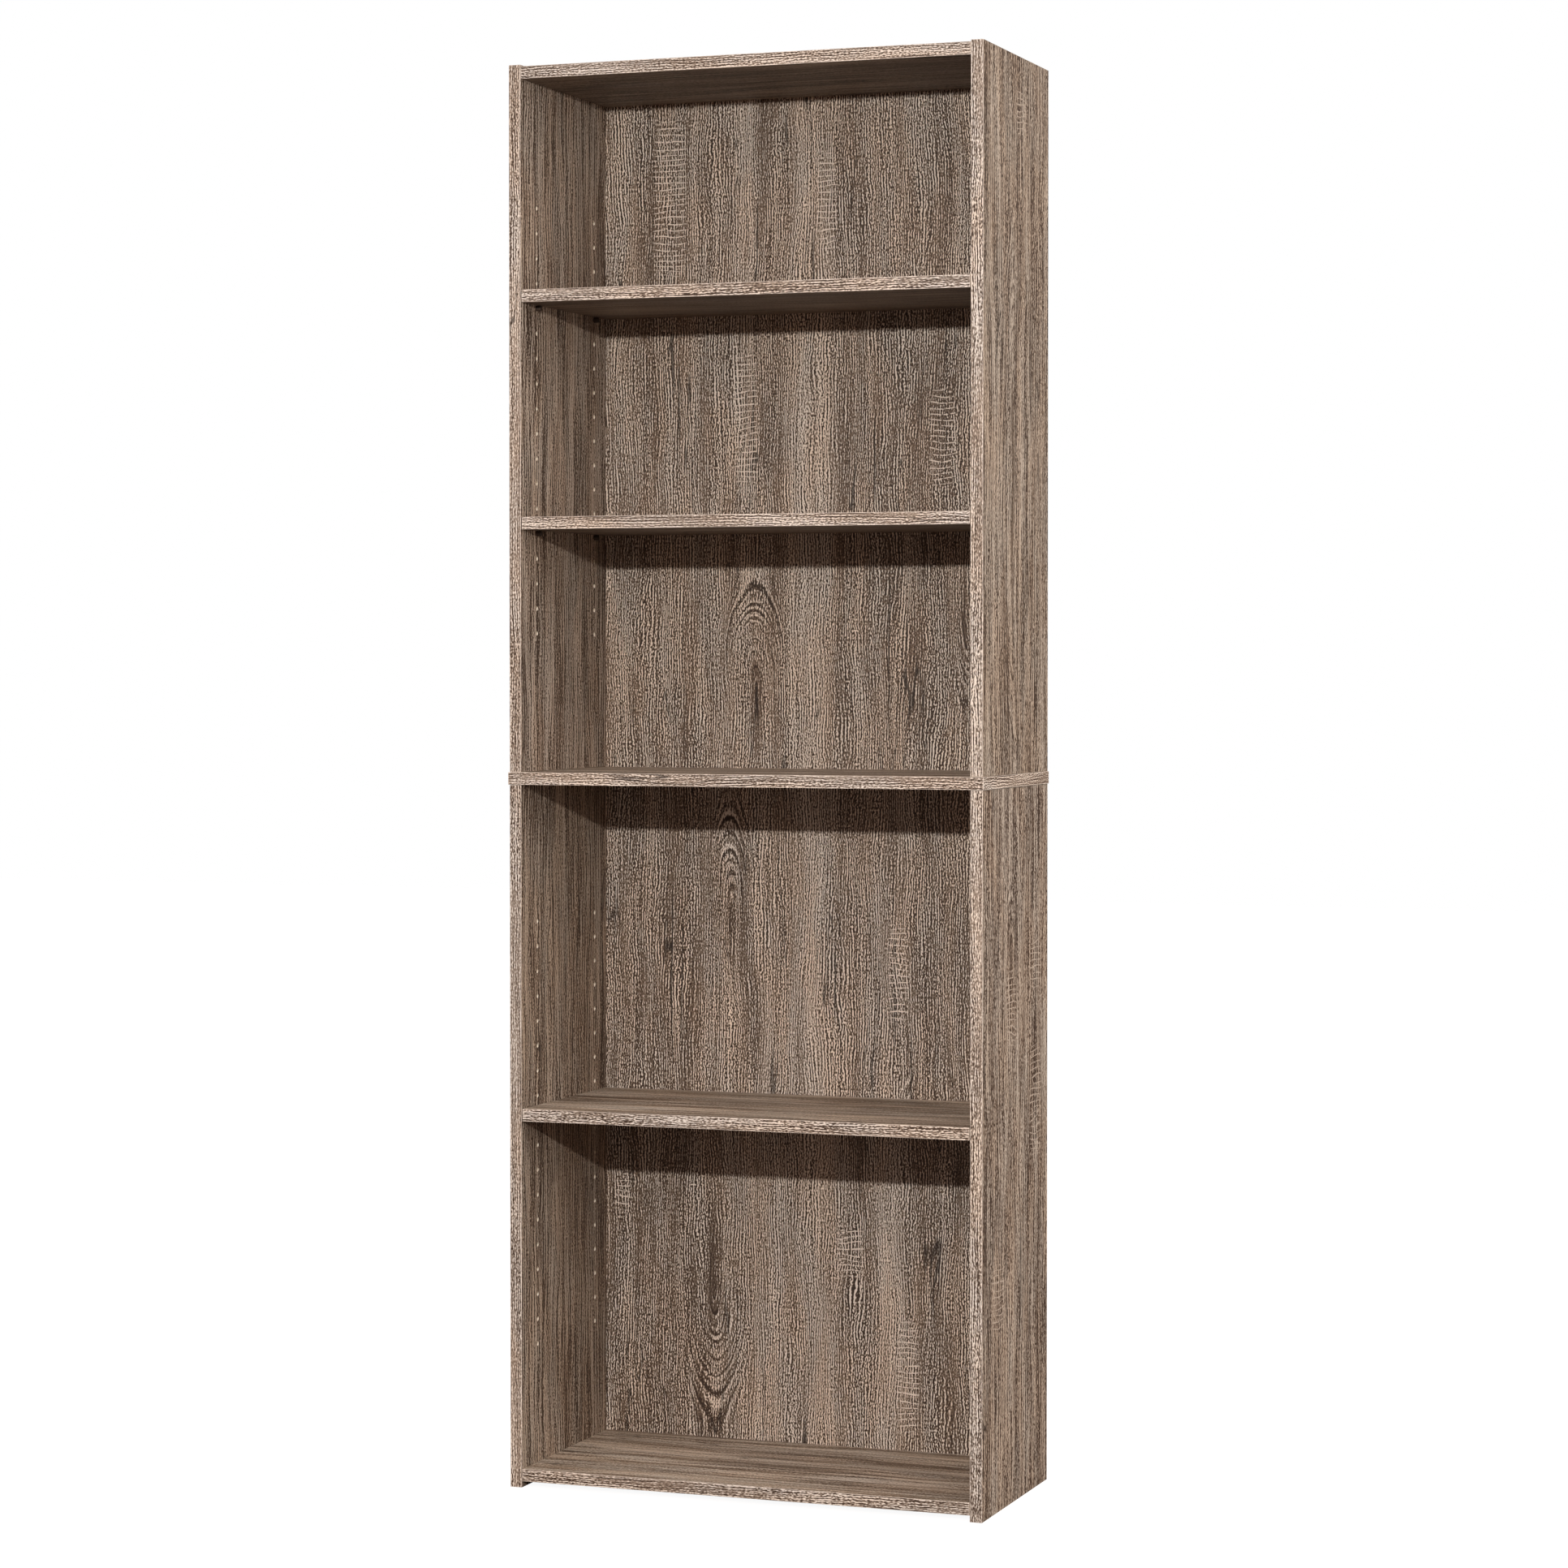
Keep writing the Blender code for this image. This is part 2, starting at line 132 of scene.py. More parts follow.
def feed(socket, value):
    """Join a value to a socket, or set the socket to a number or a colour."""
    if isinstance(value, Value):
        value.tree.links.new(value.socket, socket)
    else:
        socket.default_value = value


def add_node(tree, kind, links=None, pick=0, **settings):
    """Place a shader node; links maps its inputs to values. Returns the output picked by
    name or number, or all of them by name when pick is None."""
    made = tree.nodes.new("ShaderNode" + kind)
    for key, setting in settings.items():
        setattr(made, key, setting)
    for key, value in (links or {}).items():
        feed(made.inputs[key], value)
    if pick is None:
        return {socket.name: Value(socket) for socket in made.outputs}
    return Value(made.outputs[pick])


def maths(operation, *values):
    """One Math node; values are Values or numbers."""
    return add_node(tree_of(*values), "Math", dict(enumerate(values)), operation=operation)


def clamp(value):
    """Keep the sum that was placed last between 0 and 1."""
    value.socket.node.use_clamp = True
    return value


def rise(value, low, high):
    """Smooth step from 0 at low to 1 at high."""
    links = {"Value": value, "From Min": low, "From Max": high, "To Min": 0.0, "To Max": 1.0}
    return add_node(value.tree, "MapRange", links, "Result", interpolation_type="SMOOTHSTEP")


def fall(value, low, high):
    """Smooth step from 1 at low to 0 at high."""
    return 1.0 - rise(value, low, high)


def slope(value, low, high):
    """Straight line from 0 at low to 1 at high."""
    return clamp((value - low) / (high - low))


def blend(factor, first, second, kind="MIX"):
    """Mix two colours by a factor."""
    tree = tree_of(factor, first, second)
    links = {0: factor, 6: first, 7: second}
    return add_node(tree, "Mix", links, 2, data_type="RGBA", blend_type=kind)


def axes(place):
    """The three numbers of a vector."""
    return add_node(place.tree, "SeparateXYZ", {"Vector": place}, None).values()


def from_axes(x, y, z):
    """A vector from three numbers."""
    return add_node(tree_of(x, y, z), "CombineXYZ", {"X": x, "Y": y, "Z": z})


def noise(place, steps, detail=0.0, roughness=0.5):
    """Noise whose cells measure steps (along, across, from sheet to sheet)."""
    scale = tuple(1.0 / step for step in steps)
    moved = add_node(place.tree, "Mapping", {"Vector": place, "Scale": scale})
    links = {"Vector": moved, "Scale": 1.0, "Detail": detail, "Roughness": roughness}
    return add_node(place.tree, "TexNoise", links, "Fac")


def make_group(name, vectors, numbers, results, recipe):
    """A node group with named inputs and results. The recipe gets the inputs by name and
    returns its results in order."""
    tree = bpy.data.node_groups.new(name, "ShaderNodeTree")
    for way, kind, labels in (("INPUT", "Vector", vectors), ("INPUT", "Float", numbers),
                              ("OUTPUT", "Float", results)):
        for label in labels:
            tree.interface.new_socket(label, in_out=way, socket_type="NodeSocket" + kind)
    given = tree.nodes.new("NodeGroupInput").outputs
    made = recipe({socket.name: Value(socket) for socket in given if socket.name})
    wanted = tree.nodes.new("NodeGroupOutput").inputs
    for label, value in zip(results, made):
        feed(wanted[label], value)
    print("group", name, "nodes", len(tree.nodes))
    return tree


def use_group(group, links):
    """Place a group among the values that feed it; returns its results by name."""
    made = tree_of(*links.values()).nodes.new("ShaderNodeGroup")
    made.node_tree = group
    for key, value in links.items():
        feed(made.inputs[key], value)
    return {socket.name: Value(socket) for socket in made.outputs}


# %% [markdown]
# ## Oak grain as groups
# The foil is a print of greyed, wire-brushed oak: short wavy light and dark fibres along
# the grain, broad bands of tone, thin dark checks, hearts where the growth rings close
# into arches, and patches of faint saw marks across the grain. One stretched noise could
# stand for it, but real print has several sizes of figure at once, so fibres, streaks and
# bands are added up, all bent by the same slow wander. Everything works on a place on the
# sheet: metres along the grain, metres across, and the number of the sheet.

# %% Wander and figures
FIGURE_INPUTS = ("Along", "Across", "Length", "Width", "Way", "Side")


def shift_across(place, shift):
    """The place moved across the grain."""
    along, across, sheet = axes(place)
    return from_axes(along, across + shift, sheet)


def bent_place(place, waviness):
    """Move each point sideways by a slow and a quick wander, so fibres bend together."""
    slow = noise(place, (0.17, 0.07, 0.21), detail=1.0) - 0.5
    quick = noise(place, (0.030, 0.016, 0.17), detail=1.0) - 0.5
    return shift_across(place, (slow * 0.022 + quick * 0.0045) * waviness)


def in_figure(given):
    """Distances from a figure's middle in units of its length and width."""
    along, across, _ = axes(given["Place"])
    return (along - given["Along"]) / given["Length"], (across - given["Across"]) / given["Width"]


def heart(given):
    """Nested arches where the cut passes through the heart. With p and q the distances along
    and across in units of the heart's length and width, and h rising smoothly from 0 to 1 as
    p goes from -1 to 1, the arches are the lines of equal sqrt(q^2 + h^2): straight legs
    that close one above the other. Way turns them over; Side keeps one half (0 keeps both)."""
    p, q = in_figure(given)
    p = p * given["Way"]
    h = rise(p, -1.0, 1.0)
    arch = (h * h + q * q) ** 0.5
    middle = (p + 0.1) * 0.8
    far = (middle * middle + q * q) ** 0.5
    half = maths("MAXIMUM", 1.0 - abs(given["Side"]), rise(q * given["Side"], -0.06, 0.04))
    shift = (arch - q) * given["Width"] * fall(far, 1.1, 1.5)
    core = fall(arch, 0.16, 0.30) * rise(p, -2.6, -0.9)
    return shift, fall(far, 0.75, 1.1) * half, core * half


def saw_marks(given):
    """An oval patch of sheet, 1 inside and fading out, where saw marks show."""
    p, q = in_figure(given)
    return [fall(abs(p) ** 4.0 + abs(q) ** 4.0, 0.3, 1.4)]


def drying_crack(given):
    """A thin dark crack along the grain, widest in its middle."""
    p, _ = in_figure(given)
    taper = clamp(1.0 - p * p)
    _, across, _ = axes(given["Place"])
    half_width = given["Width"] * taper + 0.00002
    line = clamp(1.0 - abs(across - given["Across"]) / half_width)
    return [rise(line, 0.0, 0.6) * rise(taper, 0.0, 0.5)]


oak_heart = make_group("oak_heart", ["Place"], FIGURE_INPUTS, ("Shift", "Rings", "Core"), heart)
saw_patch = make_group("saw_patch", ["Place"], FIGURE_INPUTS[:4], ["Mask"], saw_marks)
drying_check = make_group("drying_check", ["Place"], FIGURE_INPUTS[:4], ["Mask"], drying_crack)

# %% Grain
GRAIN_INPUTS = ("Waviness", "Fibre Size", "Fibre Length", "Fibre Contrast", "Streak Contrast",
                "Band Contrast", "Heart Shift", "Rings", "Core", "Saw Patch")
GRAIN_RESULTS = ("Tone", "Tint", "Checks", "Marks", "Height")
RING_PITCH = 0.0062
SAW_PITCH = 0.0078


def oak_figure(given):
    """Tone 0-1 from dark to light fibre, a tint, masks for checks and saw marks, a height."""
    place = given["Place"]
    bent = bent_place(place, given["Waviness"])
    ringed = shift_across(bent, given["Heart Shift"])

    def brush(where, period, reach, spread, seed):
        """Fine lines of one period across the grain that start and stop along it."""
        x, y, sheet = axes(where)
        across = y / (given["Fibre Size"] * (spread * period)) + sheet * (17.3 + seed)
        along = x / (given["Fibre Length"] * reach) + sheet * (5.9 + seed)
        links = {"Vector": from_axes(across, along, 0.0), "Scale": 1.0, "Frequency": spread,
                 "Anisotropy": 1.0, "Orientation": 0.0}
        return add_node(where.tree, "TexGabor", links, "Value", gabor_type="2D") - 0.5

    dashes = brush(bent, 0.0031, 0.0050, 1.5, 3.0)
    fibres = brush(bent, 0.0037, 0.038, 1.7, 8.0)
    round_heart = brush(ringed, 0.0037, 0.030, 1.7, 8.0)
    turned_share = given["Rings"] * 0.6
    fibres = fibres * (1.0 - turned_share) + round_heart * turned_share
    streak = noise(bent, (0.16, 0.0070, 0.13), detail=1.0) - 0.5
    band = noise(bent, (1.5, 0.055, 0.29), detail=2.0) - 0.5
    bold = rise(noise(bent, (0.24, 0.022, 0.37), detail=1.0), 0.34, 0.66)
    grit = noise(bent, (0.0030, 0.0013, 0.23)) - 0.5

    fine = fibres + dashes * 0.85 + streak * given["Streak Contrast"] + grit * 0.80
    strength = (bold * 0.70 + 0.64) * (1.0 - given["Core"] * 0.45)
    fine = fine * strength * given["Fibre Contrast"]
    fine = fine * (abs(fine) * 0.85 + 0.50)
    tone = fine + 0.5 + band * given["Band Contrast"]

    uneven = noise(ringed, (0.5, 0.012, 0.7), detail=1.0)
    _, across, _ = axes(ringed)
    ring = maths("FRACT", uneven * 1.6 + across / RING_PITCH)
    dark = fall(abs(ring - 0.45), 0.05, 0.16)
    pale = fall(abs(ring - 0.68), 0.04, 0.13)
    broken = rise(noise(ringed, (0.030, 0.006, 0.4), detail=1.0), 0.24, 0.46)
    tone = tone + (pale * 0.26 - dark * 0.42) * broken * given["Rings"] - given["Core"] * 0.20

    line = fall(abs(noise(bent, (0.16, 0.011, 0.41)) - 0.5), 0.004, 0.030)
    checks = line * rise(noise(place, (0.22, 0.040, 0.43), detail=1.0), 0.57, 0.67)

    drift = noise(place, (0.030, 0.060, 0.3), detail=1.0)
    along, _, _ = axes(place)
    tick = fall(abs(maths("FRACT", drift * 2.2 + along / SAW_PITCH) - 0.5), 0.04, 0.13)
    torn = rise(noise(place, (0.0040, 0.0045, 0.2), detail=1.0), 0.34, 0.50)

    tint = noise(bent, (0.14, 0.035, 0.31), detail=1.0)
    pores = noise(bent, (0.012, 0.0011, 0.19))
    return tone, tint, checks, tick * given["Saw Patch"] * torn, pores - checks * 0.5


oak_grain = make_group("oak_grain", ["Place"], GRAIN_INPUTS, GRAIN_RESULTS, oak_figure)


# %% [markdown]
# ## Wear and painted highlight along the edges as a group
# Hands and moving rub the print off the arrises of a board and leave a paler, slightly
# shinier line, broken up along its length. The same pale line is also a painted highlight
# along each arris. Each face carries its own half length and half width, so how near a
# point is to the edge is a plain subtraction.

# %% Edge wear and painted highlight
WEAR_AND_HIGHLIGHT_REACH = 0.0012


def worn_and_highlit_arris(given):
    """1 at an arris, where the print is worn and a highlight is painted, 0 inside: how close the point is
    to its face's nearest edge.
    """
    x, y, _ = axes(given["From Middle"])
    half_x, half_y, _ = axes(given["Half Size"])
    nearest = maths("MINIMUM", half_x - abs(x), half_y - abs(y))
    uneven_reach = noise(given["From Middle"], (0.012, 0.012, 0.2), detail=2.0)
    return [clamp(1.0 - nearest / ((uneven_reach * 1.6 + 0.2) * WEAR_AND_HIGHLIGHT_REACH))]


edge_wear = make_group("edge_wear", ["From Middle", "Half Size"], [], ["Wear"], worn_and_highlit_arris)

# %% [markdown]
# ## The foil materials
# Every wrapped face shares the grain group and the group for worn print and painted highlight
# on the arrises. What differs is the print: the sides and backs have the strongest contrast,
# the shelves and edge bands a quieter one. Three colours run from the dark pore to the pale
# fibre. The tops of the boards carry painted light, a lighter copy of their print, and the
# undersides painted shade, a darker copy.


# %% Foil material
WHITE = (1.0, 1.0, 1.0, 1.0)


def linear(red, green, blue):
    """Screen colour 0-255 to the linear colour that shaders use."""
    screen = np.array([red, green, blue]) / 255.0
    value = np.where(screen <= 0.04045, screen / 12.92, ((screen + 0.055) / 1.055) ** 2.4)
    return (*value.tolist(), 1.0)


def new_material(name, roughness):
    """A material with a Principled shader; returns it, its tree and the shader."""
    material = bpy.data.materials.new(name)
    material.use_nodes = True
    shader = material.node_tree.nodes["Principled BSDF"]
    shader.inputs["Roughness"].default_value = roughness
    return material, material.node_tree, shader


def finish_look(shader, colour, height, relief, strength=0.5, rough=None):
    """Feed a shader its colour, its relief in metres and, where uneven, its roughness."""
    feed(shader.inputs["Base Color"], colour)
    if rough is not None:
        feed(shader.inputs["Roughness"], rough)
    links = {"Strength": strength, "Distance": relief, "Height": height}
    feed(shader.inputs["Normal"], add_node(height.tree, "Bump", links))


def read_attribute(tree, name):
    """A vector written on the mesh."""
    return add_node(tree, "Attribute", None, "Vector", attribute_name=name, attribute_type="GEOMETRY")


def total(values):
    """The sum of several values, or 0 where there are none."""
    return sum(values[1:], values[0]) if values else 0.0


def place_figures(group, place, figures):
    """One copy of a figure's group for each row of its inputs."""
    return [use_group(group, {"Place": place, **dict(zip(FIGURE_INPUTS, row))}) for row in figures]


def foil(name, tones, fibre, streak, band, waviness=1.0, size=1.0, length=1.0, roughness=0.55,
         hearts=(), saws=(), checks=(), wear_and_highlight_strength=0.35):
    """Printed oak foil with its own contrast and figure. hearts are (along, across, length,
    width, way, side), saws (along, across, half length, half width), checks (along, across,
    half length, width), all in metres on the sheet."""
    material, tree, shader = new_material(name, roughness)
    dark, middle, light = (linear(*tone) for tone in tones)
    place = read_attribute(tree, "grain")
    arches = place_figures(oak_heart, bent_place(place, 1.0), hearts)
    patches = place_figures(saw_patch, place, saws)
    cracks = place_figures(drying_check, bent_place(place, 0.35), checks)
    oak = use_group(oak_grain, {
        "Place": place, "Waviness": waviness, "Fibre Size": size, "Fibre Length": length,
        "Fibre Contrast": fibre, "Streak Contrast": streak, "Band Contrast": band,
        "Heart Shift": total([arch["Shift"] for arch in arches]),
        "Rings": total([arch["Rings"] for arch in arches]),
        "Core": total([arch["Core"] for arch in arches]),
        "Saw Patch": total([patch["Mask"] for patch in patches]),
    })
    colour = blend(slope(oak["Tone"], 0.0, 0.5), dark, middle)
    colour = blend(slope(oak["Tone"], 0.5, 1.0), colour, light)
    tint = blend(rise(oak["Tint"], 0.35, 0.65), (0.97, 1.0, 1.02, 1.0), (1.03, 1.0, 0.96, 1.0))
    colour = blend(1.0, colour, tint, "MULTIPLY")
    cracked = clamp(total([oak["Checks"]] + [crack["Mask"] for crack in cracks]) * 0.8)
    colour = blend(cracked, colour, (*[0.45 * part for part in dark[:3]], 1.0))
    colour = blend(clamp(oak["Marks"] * 0.95), colour, light)
    wear_and_highlight = use_group(edge_wear, {"From Middle": read_attribute(tree, "from_middle"),
                                 "Half Size": read_attribute(tree, "half_size")})["Wear"]
    # Paler line along the arrises: worn print and a painted highlight.
    colour = blend(wear_and_highlight * wear_and_highlight_strength, colour, light)
    rough = roughness - (oak["Tint"] - 0.5) * 0.25 - wear_and_highlight * 0.08
    finish_look(shader, colour, oak["Height"], 0.00012, 0.6, rough)
    shader.inputs["Specular IOR Level"].default_value = 0.35
    return material


# %% Prints
# Three screen colours each: dark pore, middle, pale fibre.
INNER_TONES = (60, 43, 31), (123, 101, 85), (186, 166, 148)
LOWER_INNER_TONES = (60, 43, 31), (120, 98, 81), (182, 162, 143)
OUTER_TONES = (66, 49, 36), (130, 110, 91), (192, 173, 154)
LOWER_OUTER_TONES = (68, 50, 37), (134, 113, 95), (198, 179, 160)
EDGE_TONES = (66, 48, 36), (146, 127, 111), (234, 218, 203)
# Shelf tops: painted light, a lighter copy of the print for light falling from above.
SHELF_TOP_PAINTED_LIGHT_TONES = (90, 70, 54), (161, 140, 119), (222, 204, 185)
# Undersides: painted shade, a darker copy of the same print.
UNDERSIDE_PAINTED_SHADE_TONES = (52, 38, 29), (104, 86, 72), (150, 132, 115)
BACK_TONES = (54, 38, 28), (117, 97, 80), (226, 208, 191)
UPPER_BACK_TONES = (52, 37, 27), (115, 94, 77), (222, 204, 186)
SIDE_PRINT = {"fibre": 4.4, "streak": 0.8, "band": 1.0, "size": 1.9, "length": 1.5}
SHELF_PRINT = {"fibre": 2.4, "streak": 1.1, "size": 1.4, "length": 1.4}
BACK_PRINT = {"fibre": 3.4, "streak": 0.2, "band": 0.95, "roughness": 0.62}

foil_side = foil("oak_foil_side", INNER_TONES, **SIDE_PRINT)
foil_side_lower = foil("oak_foil_side_lower", LOWER_INNER_TONES, **SIDE_PRINT)
foil_outer_upper = foil(
    "oak_foil_outer_upper", OUTER_TONES, **SIDE_PRINT,
    hearts=[(1.480, -0.009, 0.170, 0.055, 1.0, -1.0), (1.045, -0.009, 0.110, 0.050, -1.0, -1.0)],
    saws=[(1.740, 0.022, 0.034, 0.022)],
    checks=[(1.450, 0.060, 0.150, 0.0022), (1.200, 0.078, 0.120, 0.0020), (1.620, -0.060, 0.080, 0.0020)],
)
foil_outer_lower = foil(
    "oak_foil_outer_lower", LOWER_OUTER_TONES, **SIDE_PRINT,
    hearts=[(0.740, -0.021, 0.060, 0.030, 1.0, 0.0)],
    saws=[(0.620, -0.020, 0.050, 0.022), (0.670, 0.085, 0.032, 0.025), (0.495, 0.085, 0.075, 0.026),
          (0.265, -0.075, 0.046, 0.026)],
    checks=[(0.500, 0.085, 0.070, 0.0024), (0.300, 0.020, 0.110, 0.0020)],
)
foil_edge = foil("oak_foil_edge", EDGE_TONES, fibre=2.7, streak=0.4, band=0.2, waviness=0.4, size=0.85,
                 length=1.2, wear_and_highlight_strength=0.75)
# Tops of shelves and end panels: the print with painted light, lighter than the sides.
shelf_top_foil_painted_light = foil("oak_foil_shelf", SHELF_TOP_PAINTED_LIGHT_TONES, band=1.6, **SHELF_PRINT)
# Undersides of shelves and end panels: the print with painted shade, darker than the tops.
underside_foil_painted_shade = foil("oak_foil_underside", UNDERSIDE_PAINTED_SHADE_TONES, band=1.2, **SHELF_PRINT)
foil_back_upper = foil(
    "oak_print_back_upper", UPPER_BACK_TONES, **BACK_PRINT,
    hearts=[(1.090, -0.084, 0.085, 0.045, 1.0, 0.0), (1.040, 0.205, 0.060, 0.022, -1.0, -1.0)],
    saws=[(1.667, -0.207, 0.105, 0.024), (1.655, 0.014, 0.065, 0.014), (1.372, -0.099, 0.090, 0.017),
          (1.345, 0.173, 0.066, 0.018)],
    checks=[(1.615, -0.084, 0.055, 0.0014), (1.395, -0.194, 0.065, 0.0014), (1.320, 0.081, 0.070, 0.0016),
            (1.07, 0.10, 0.12, 0.0010)],
)
foil_back_lower = foil(
    "oak_print_back_lower", BACK_TONES, **BACK_PRINT,
    hearts=[(0.800, -0.119, 0.085, 0.034, 1.0, 0.0), (0.140, -0.142, 0.100, 0.045, -1.0, 0.0),
            (0.500, 0.121, 0.060, 0.022, -1.0, 1.0)],
    saws=[(0.647, 0.113, 0.070, 0.014), (0.280, 0.046, 0.035, 0.020), (0.120, 0.126, 0.075, 0.016),
          (0.345, -0.275, 0.025, 0.010)],
    checks=[(0.632, 0.026, 0.065, 0.0015), (0.640, -0.204, 0.140, 0.0017), (0.620, -0.190, 0.110, 0.0013),
            (0.520, 0.130, 0.060, 0.0014)],
)
print("oak materials", [m.name for m in bpy.data.materials if m.name.startswith("oak")])


# %% [markdown]
# ## Chipboard core, hardboard, plastic, zinc, steel and beech
# Where no foil covers the board, its core shows: pale chips and darker dust pressed
# together on the unbanded rear edges, and paler still in a freshly drilled pin hole. The
# rear of the back boards is bare brown hardboard. The fittings are grey zinc, plated
# steel, brown plastic and beech. Solid textures on Object coordinates suit them, because
# chips, fibres and castings look the same whichever way they are cut.

# %% Core and hardboard
def object_place(tree):
    """Object coordinates in metres."""
    return add_node(tree, "TexCoord", None, "Object")


def chip_core(name, dark_chip, pale_chip, dust_colour):
    """Cells of pale chips of different tone with dark dust between them."""
    material, tree, shader = new_material(name, 0.85)
    place = object_place(tree)
    flat = add_node(tree, "Mapping", {"Vector": place, "Scale": (420.0, 420.0, 700.0)})
    chips = add_node(tree, "TexVoronoi", {"Vector": flat, "Scale": 1.0, "Randomness": 1.0}, None)
    tone = add_node(tree, "SeparateColor", {"Color": chips["Color"]})
    dust = noise(place, (0.0008, 0.0008, 0.0008), detail=2.0)
    colour = blend(tone, linear(*dark_chip), linear(*pale_chip))
    colour = blend(rise(dust, 0.52, 0.66), colour, linear(*dust_colour))
    finish_look(shader, colour, chips["Distance"], 0.0003, 0.7)
    return material


def bare_hardboard():
    """Brown pressed fibre: fine random fibres, soft clouds and small dark flecks."""
    material, tree, shader = new_material("bare_hardboard", 0.72)
    place = object_place(tree)
    fibre = noise(place, (0.0016, 0.0016, 0.0030), detail=3.0, roughness=0.65)
    cloud = noise(place, (0.09, 0.09, 0.14), detail=3.0) - 0.5
    fleck = rise(noise(place, (0.0011, 0.0011, 0.0042), detail=1.0), 0.66, 0.74)
    colour = blend(rise(fibre + cloud * 0.22, 0.2, 0.8), linear(142, 108, 78), linear(178, 144, 110))
    colour = blend(fleck * 0.6, colour, linear(104, 74, 50))
    finish_look(shader, colour, fibre, 0.0002, rough=fibre * 0.2 + 0.62)
    return material


core = chip_core("chipboard_core", (158, 126, 92), (206, 178, 140), (118, 88, 60))
pale_core = chip_core("freshly_drilled_core", (226, 210, 188), (242, 230, 212), (196, 174, 146))
hardboard = bare_hardboard()
print("board materials", core.name, pale_core.name, hardboard.name)


# %% Metals, plastic and beech
GLOSS_SPREAD = 0.15


def speckled(name, first, second, roughness, metallic, cell):
    """A cast, plated or moulded finish: two close tones, mottled, with uneven gloss."""
    material, tree, shader = new_material(name, roughness)
    mottle = noise(object_place(tree), (cell, cell, cell), detail=3.0, roughness=0.6)
    colour = blend(rise(mottle, 0.3, 0.7), linear(*first), linear(*second))
    shader.inputs["Metallic"].default_value = metallic
    finish_look(shader, colour, mottle, 0.00004, rough=(mottle - 0.5) * GLOSS_SPREAD + roughness)
    return material


def beech_wood():
    """Pale beech: short dark flecks along X and a soft grain."""
    material, tree, shader = new_material("beech", 0.7)
    flecks = noise(object_place(tree), (0.010, 0.0008, 0.0008), detail=2.0)
    colour = blend(rise(flecks, 0.3, 0.7), linear(196, 160, 118), linear(224, 192, 152))
    finish_look(shader, colour, flecks, 0.0001)
    return material


zinc = speckled("cast_zinc", (150, 150, 148), (190, 190, 186), 0.42, 1.0, 0.0012)
bolt_steel = speckled("zinc_plated_steel", (168, 168, 164), (200, 200, 194), 0.32, 1.0, 0.0020)
screw_steel = speckled("yellow_plated_steel", (186, 168, 118), (210, 196, 150), 0.30, 1.0, 0.0020)
pin_plastic = speckled("brown_pin_plastic_moulded", (50, 38, 30), (66, 51, 40), 0.48, 0.0, 0.0015)
beech = beech_wood()
print("materials", len(bpy.data.materials))

# %% [markdown]
# ## Turning arrays into meshes
# A mesh is points, faces and, here, a normal for every corner of every face, so that a
# board's flat faces stay flat while its rounded arrises and bores look round. All of it
# goes in as whole arrays.


# %% Mesh from arrays
class Surface:
    """Collects points and faces of one piece as arrays."""

    def __init__(self):
        self.points = []
        self.parts = []
        self.count = 0

    def add_points(self, points):
        """Add points; returns the number of the first one."""
        first = self.count
        self.points.append(np.asarray(points, dtype=float).reshape(-1, 3))
        self.count += len(self.points[-1])
        return first

    def add_faces(self, faces, normals, slot, facing=None):
        """Faces with the same number of corners; normals are one for each corner."""
        faces = np.asarray(faces, dtype=np.int64)
        normals = np.broadcast_to(np.asarray(normals, dtype=float), (*faces.shape, 3))
        self.parts.append((faces, normals, slot, facing))

    def build(self, name, materials):
        """Write the arrays into a mesh object; returns it."""
        mesh = bpy.data.meshes.new(name)
        points = np.concatenate(self.points)
        sizes = np.concatenate([np.full(len(f), f.shape[1]) for f, _, _, _ in self.parts])
        corners = np.concatenate([f.ravel() for f, _, _, _ in self.parts])
        normals = np.concatenate([n.reshape(-1, 3) for _, n, _, _ in self.parts])
        slots = np.concatenate([np.full(len(f), s) for f, _, s, _ in self.parts])
        mesh.vertices.add(len(points))
        mesh.vertices.foreach_set("co", points.ravel())
        mesh.loops.add(len(corners))
        mesh.loops.foreach_set("vertex_index", corners)
        mesh.polygons.add(len(sizes))
        mesh.polygons.foreach_set("loop_start", np.concatenate([[0], np.cumsum(sizes)[:-1]]))
        mesh.polygons.foreach_set("material_index", slots)
        mesh.polygons.foreach_set("use_smooth", np.ones(len(sizes), dtype=bool))
        mesh.update(calc_edges=True)
        for material in materials:
            mesh.materials.append(material)
        mesh.normals_split_custom_set(normals)
        piece = bpy.data.objects.new(name, mesh)
        bpy.context.scene.collection.objects.link(piece)
        return piece


def write_vectors(mesh, name, values):
    """A vector for every face corner."""
    layer = mesh.attributes.new(name, "FLOAT_VECTOR", "CORNER")
    layer.data.foreach_set("vector", np.asarray(values, dtype=np.float32).ravel())


# %% [markdown]
# ## Boards with rounded arrises and bores
# A board could be a cube with a bevel and boolean cutters. Booleans leave ragged
# triangles, so each board is worked out instead: a lattice over the box is pushed onto
# the rounded surface, and the lattice cell around each bore is swapped for a ring of
# triangles that meets the bore's circle exactly.

# %% Lattice boards
ARRIS_STEP = math.tan(math.pi / 8)  # halves the turn of an arris
RING = 32           # sides of a bore
CONE = 0.25         # depth of the cone at a blind bore's end, in radii
FACE_STEP = 0.37    # keeps a board's two opposite faces from carrying the same figure


def merge_spans(spans):
    """Join spans that overlap, so that no lattice line cuts through a bore's cell."""
    merged = []
    for low, high in sorted(spans):
        if merged and low <= merged[-1][1]:
            merged[-1][1] = max(high, merged[-1][1])
        else:
            merged.append([low, high])
    return merged


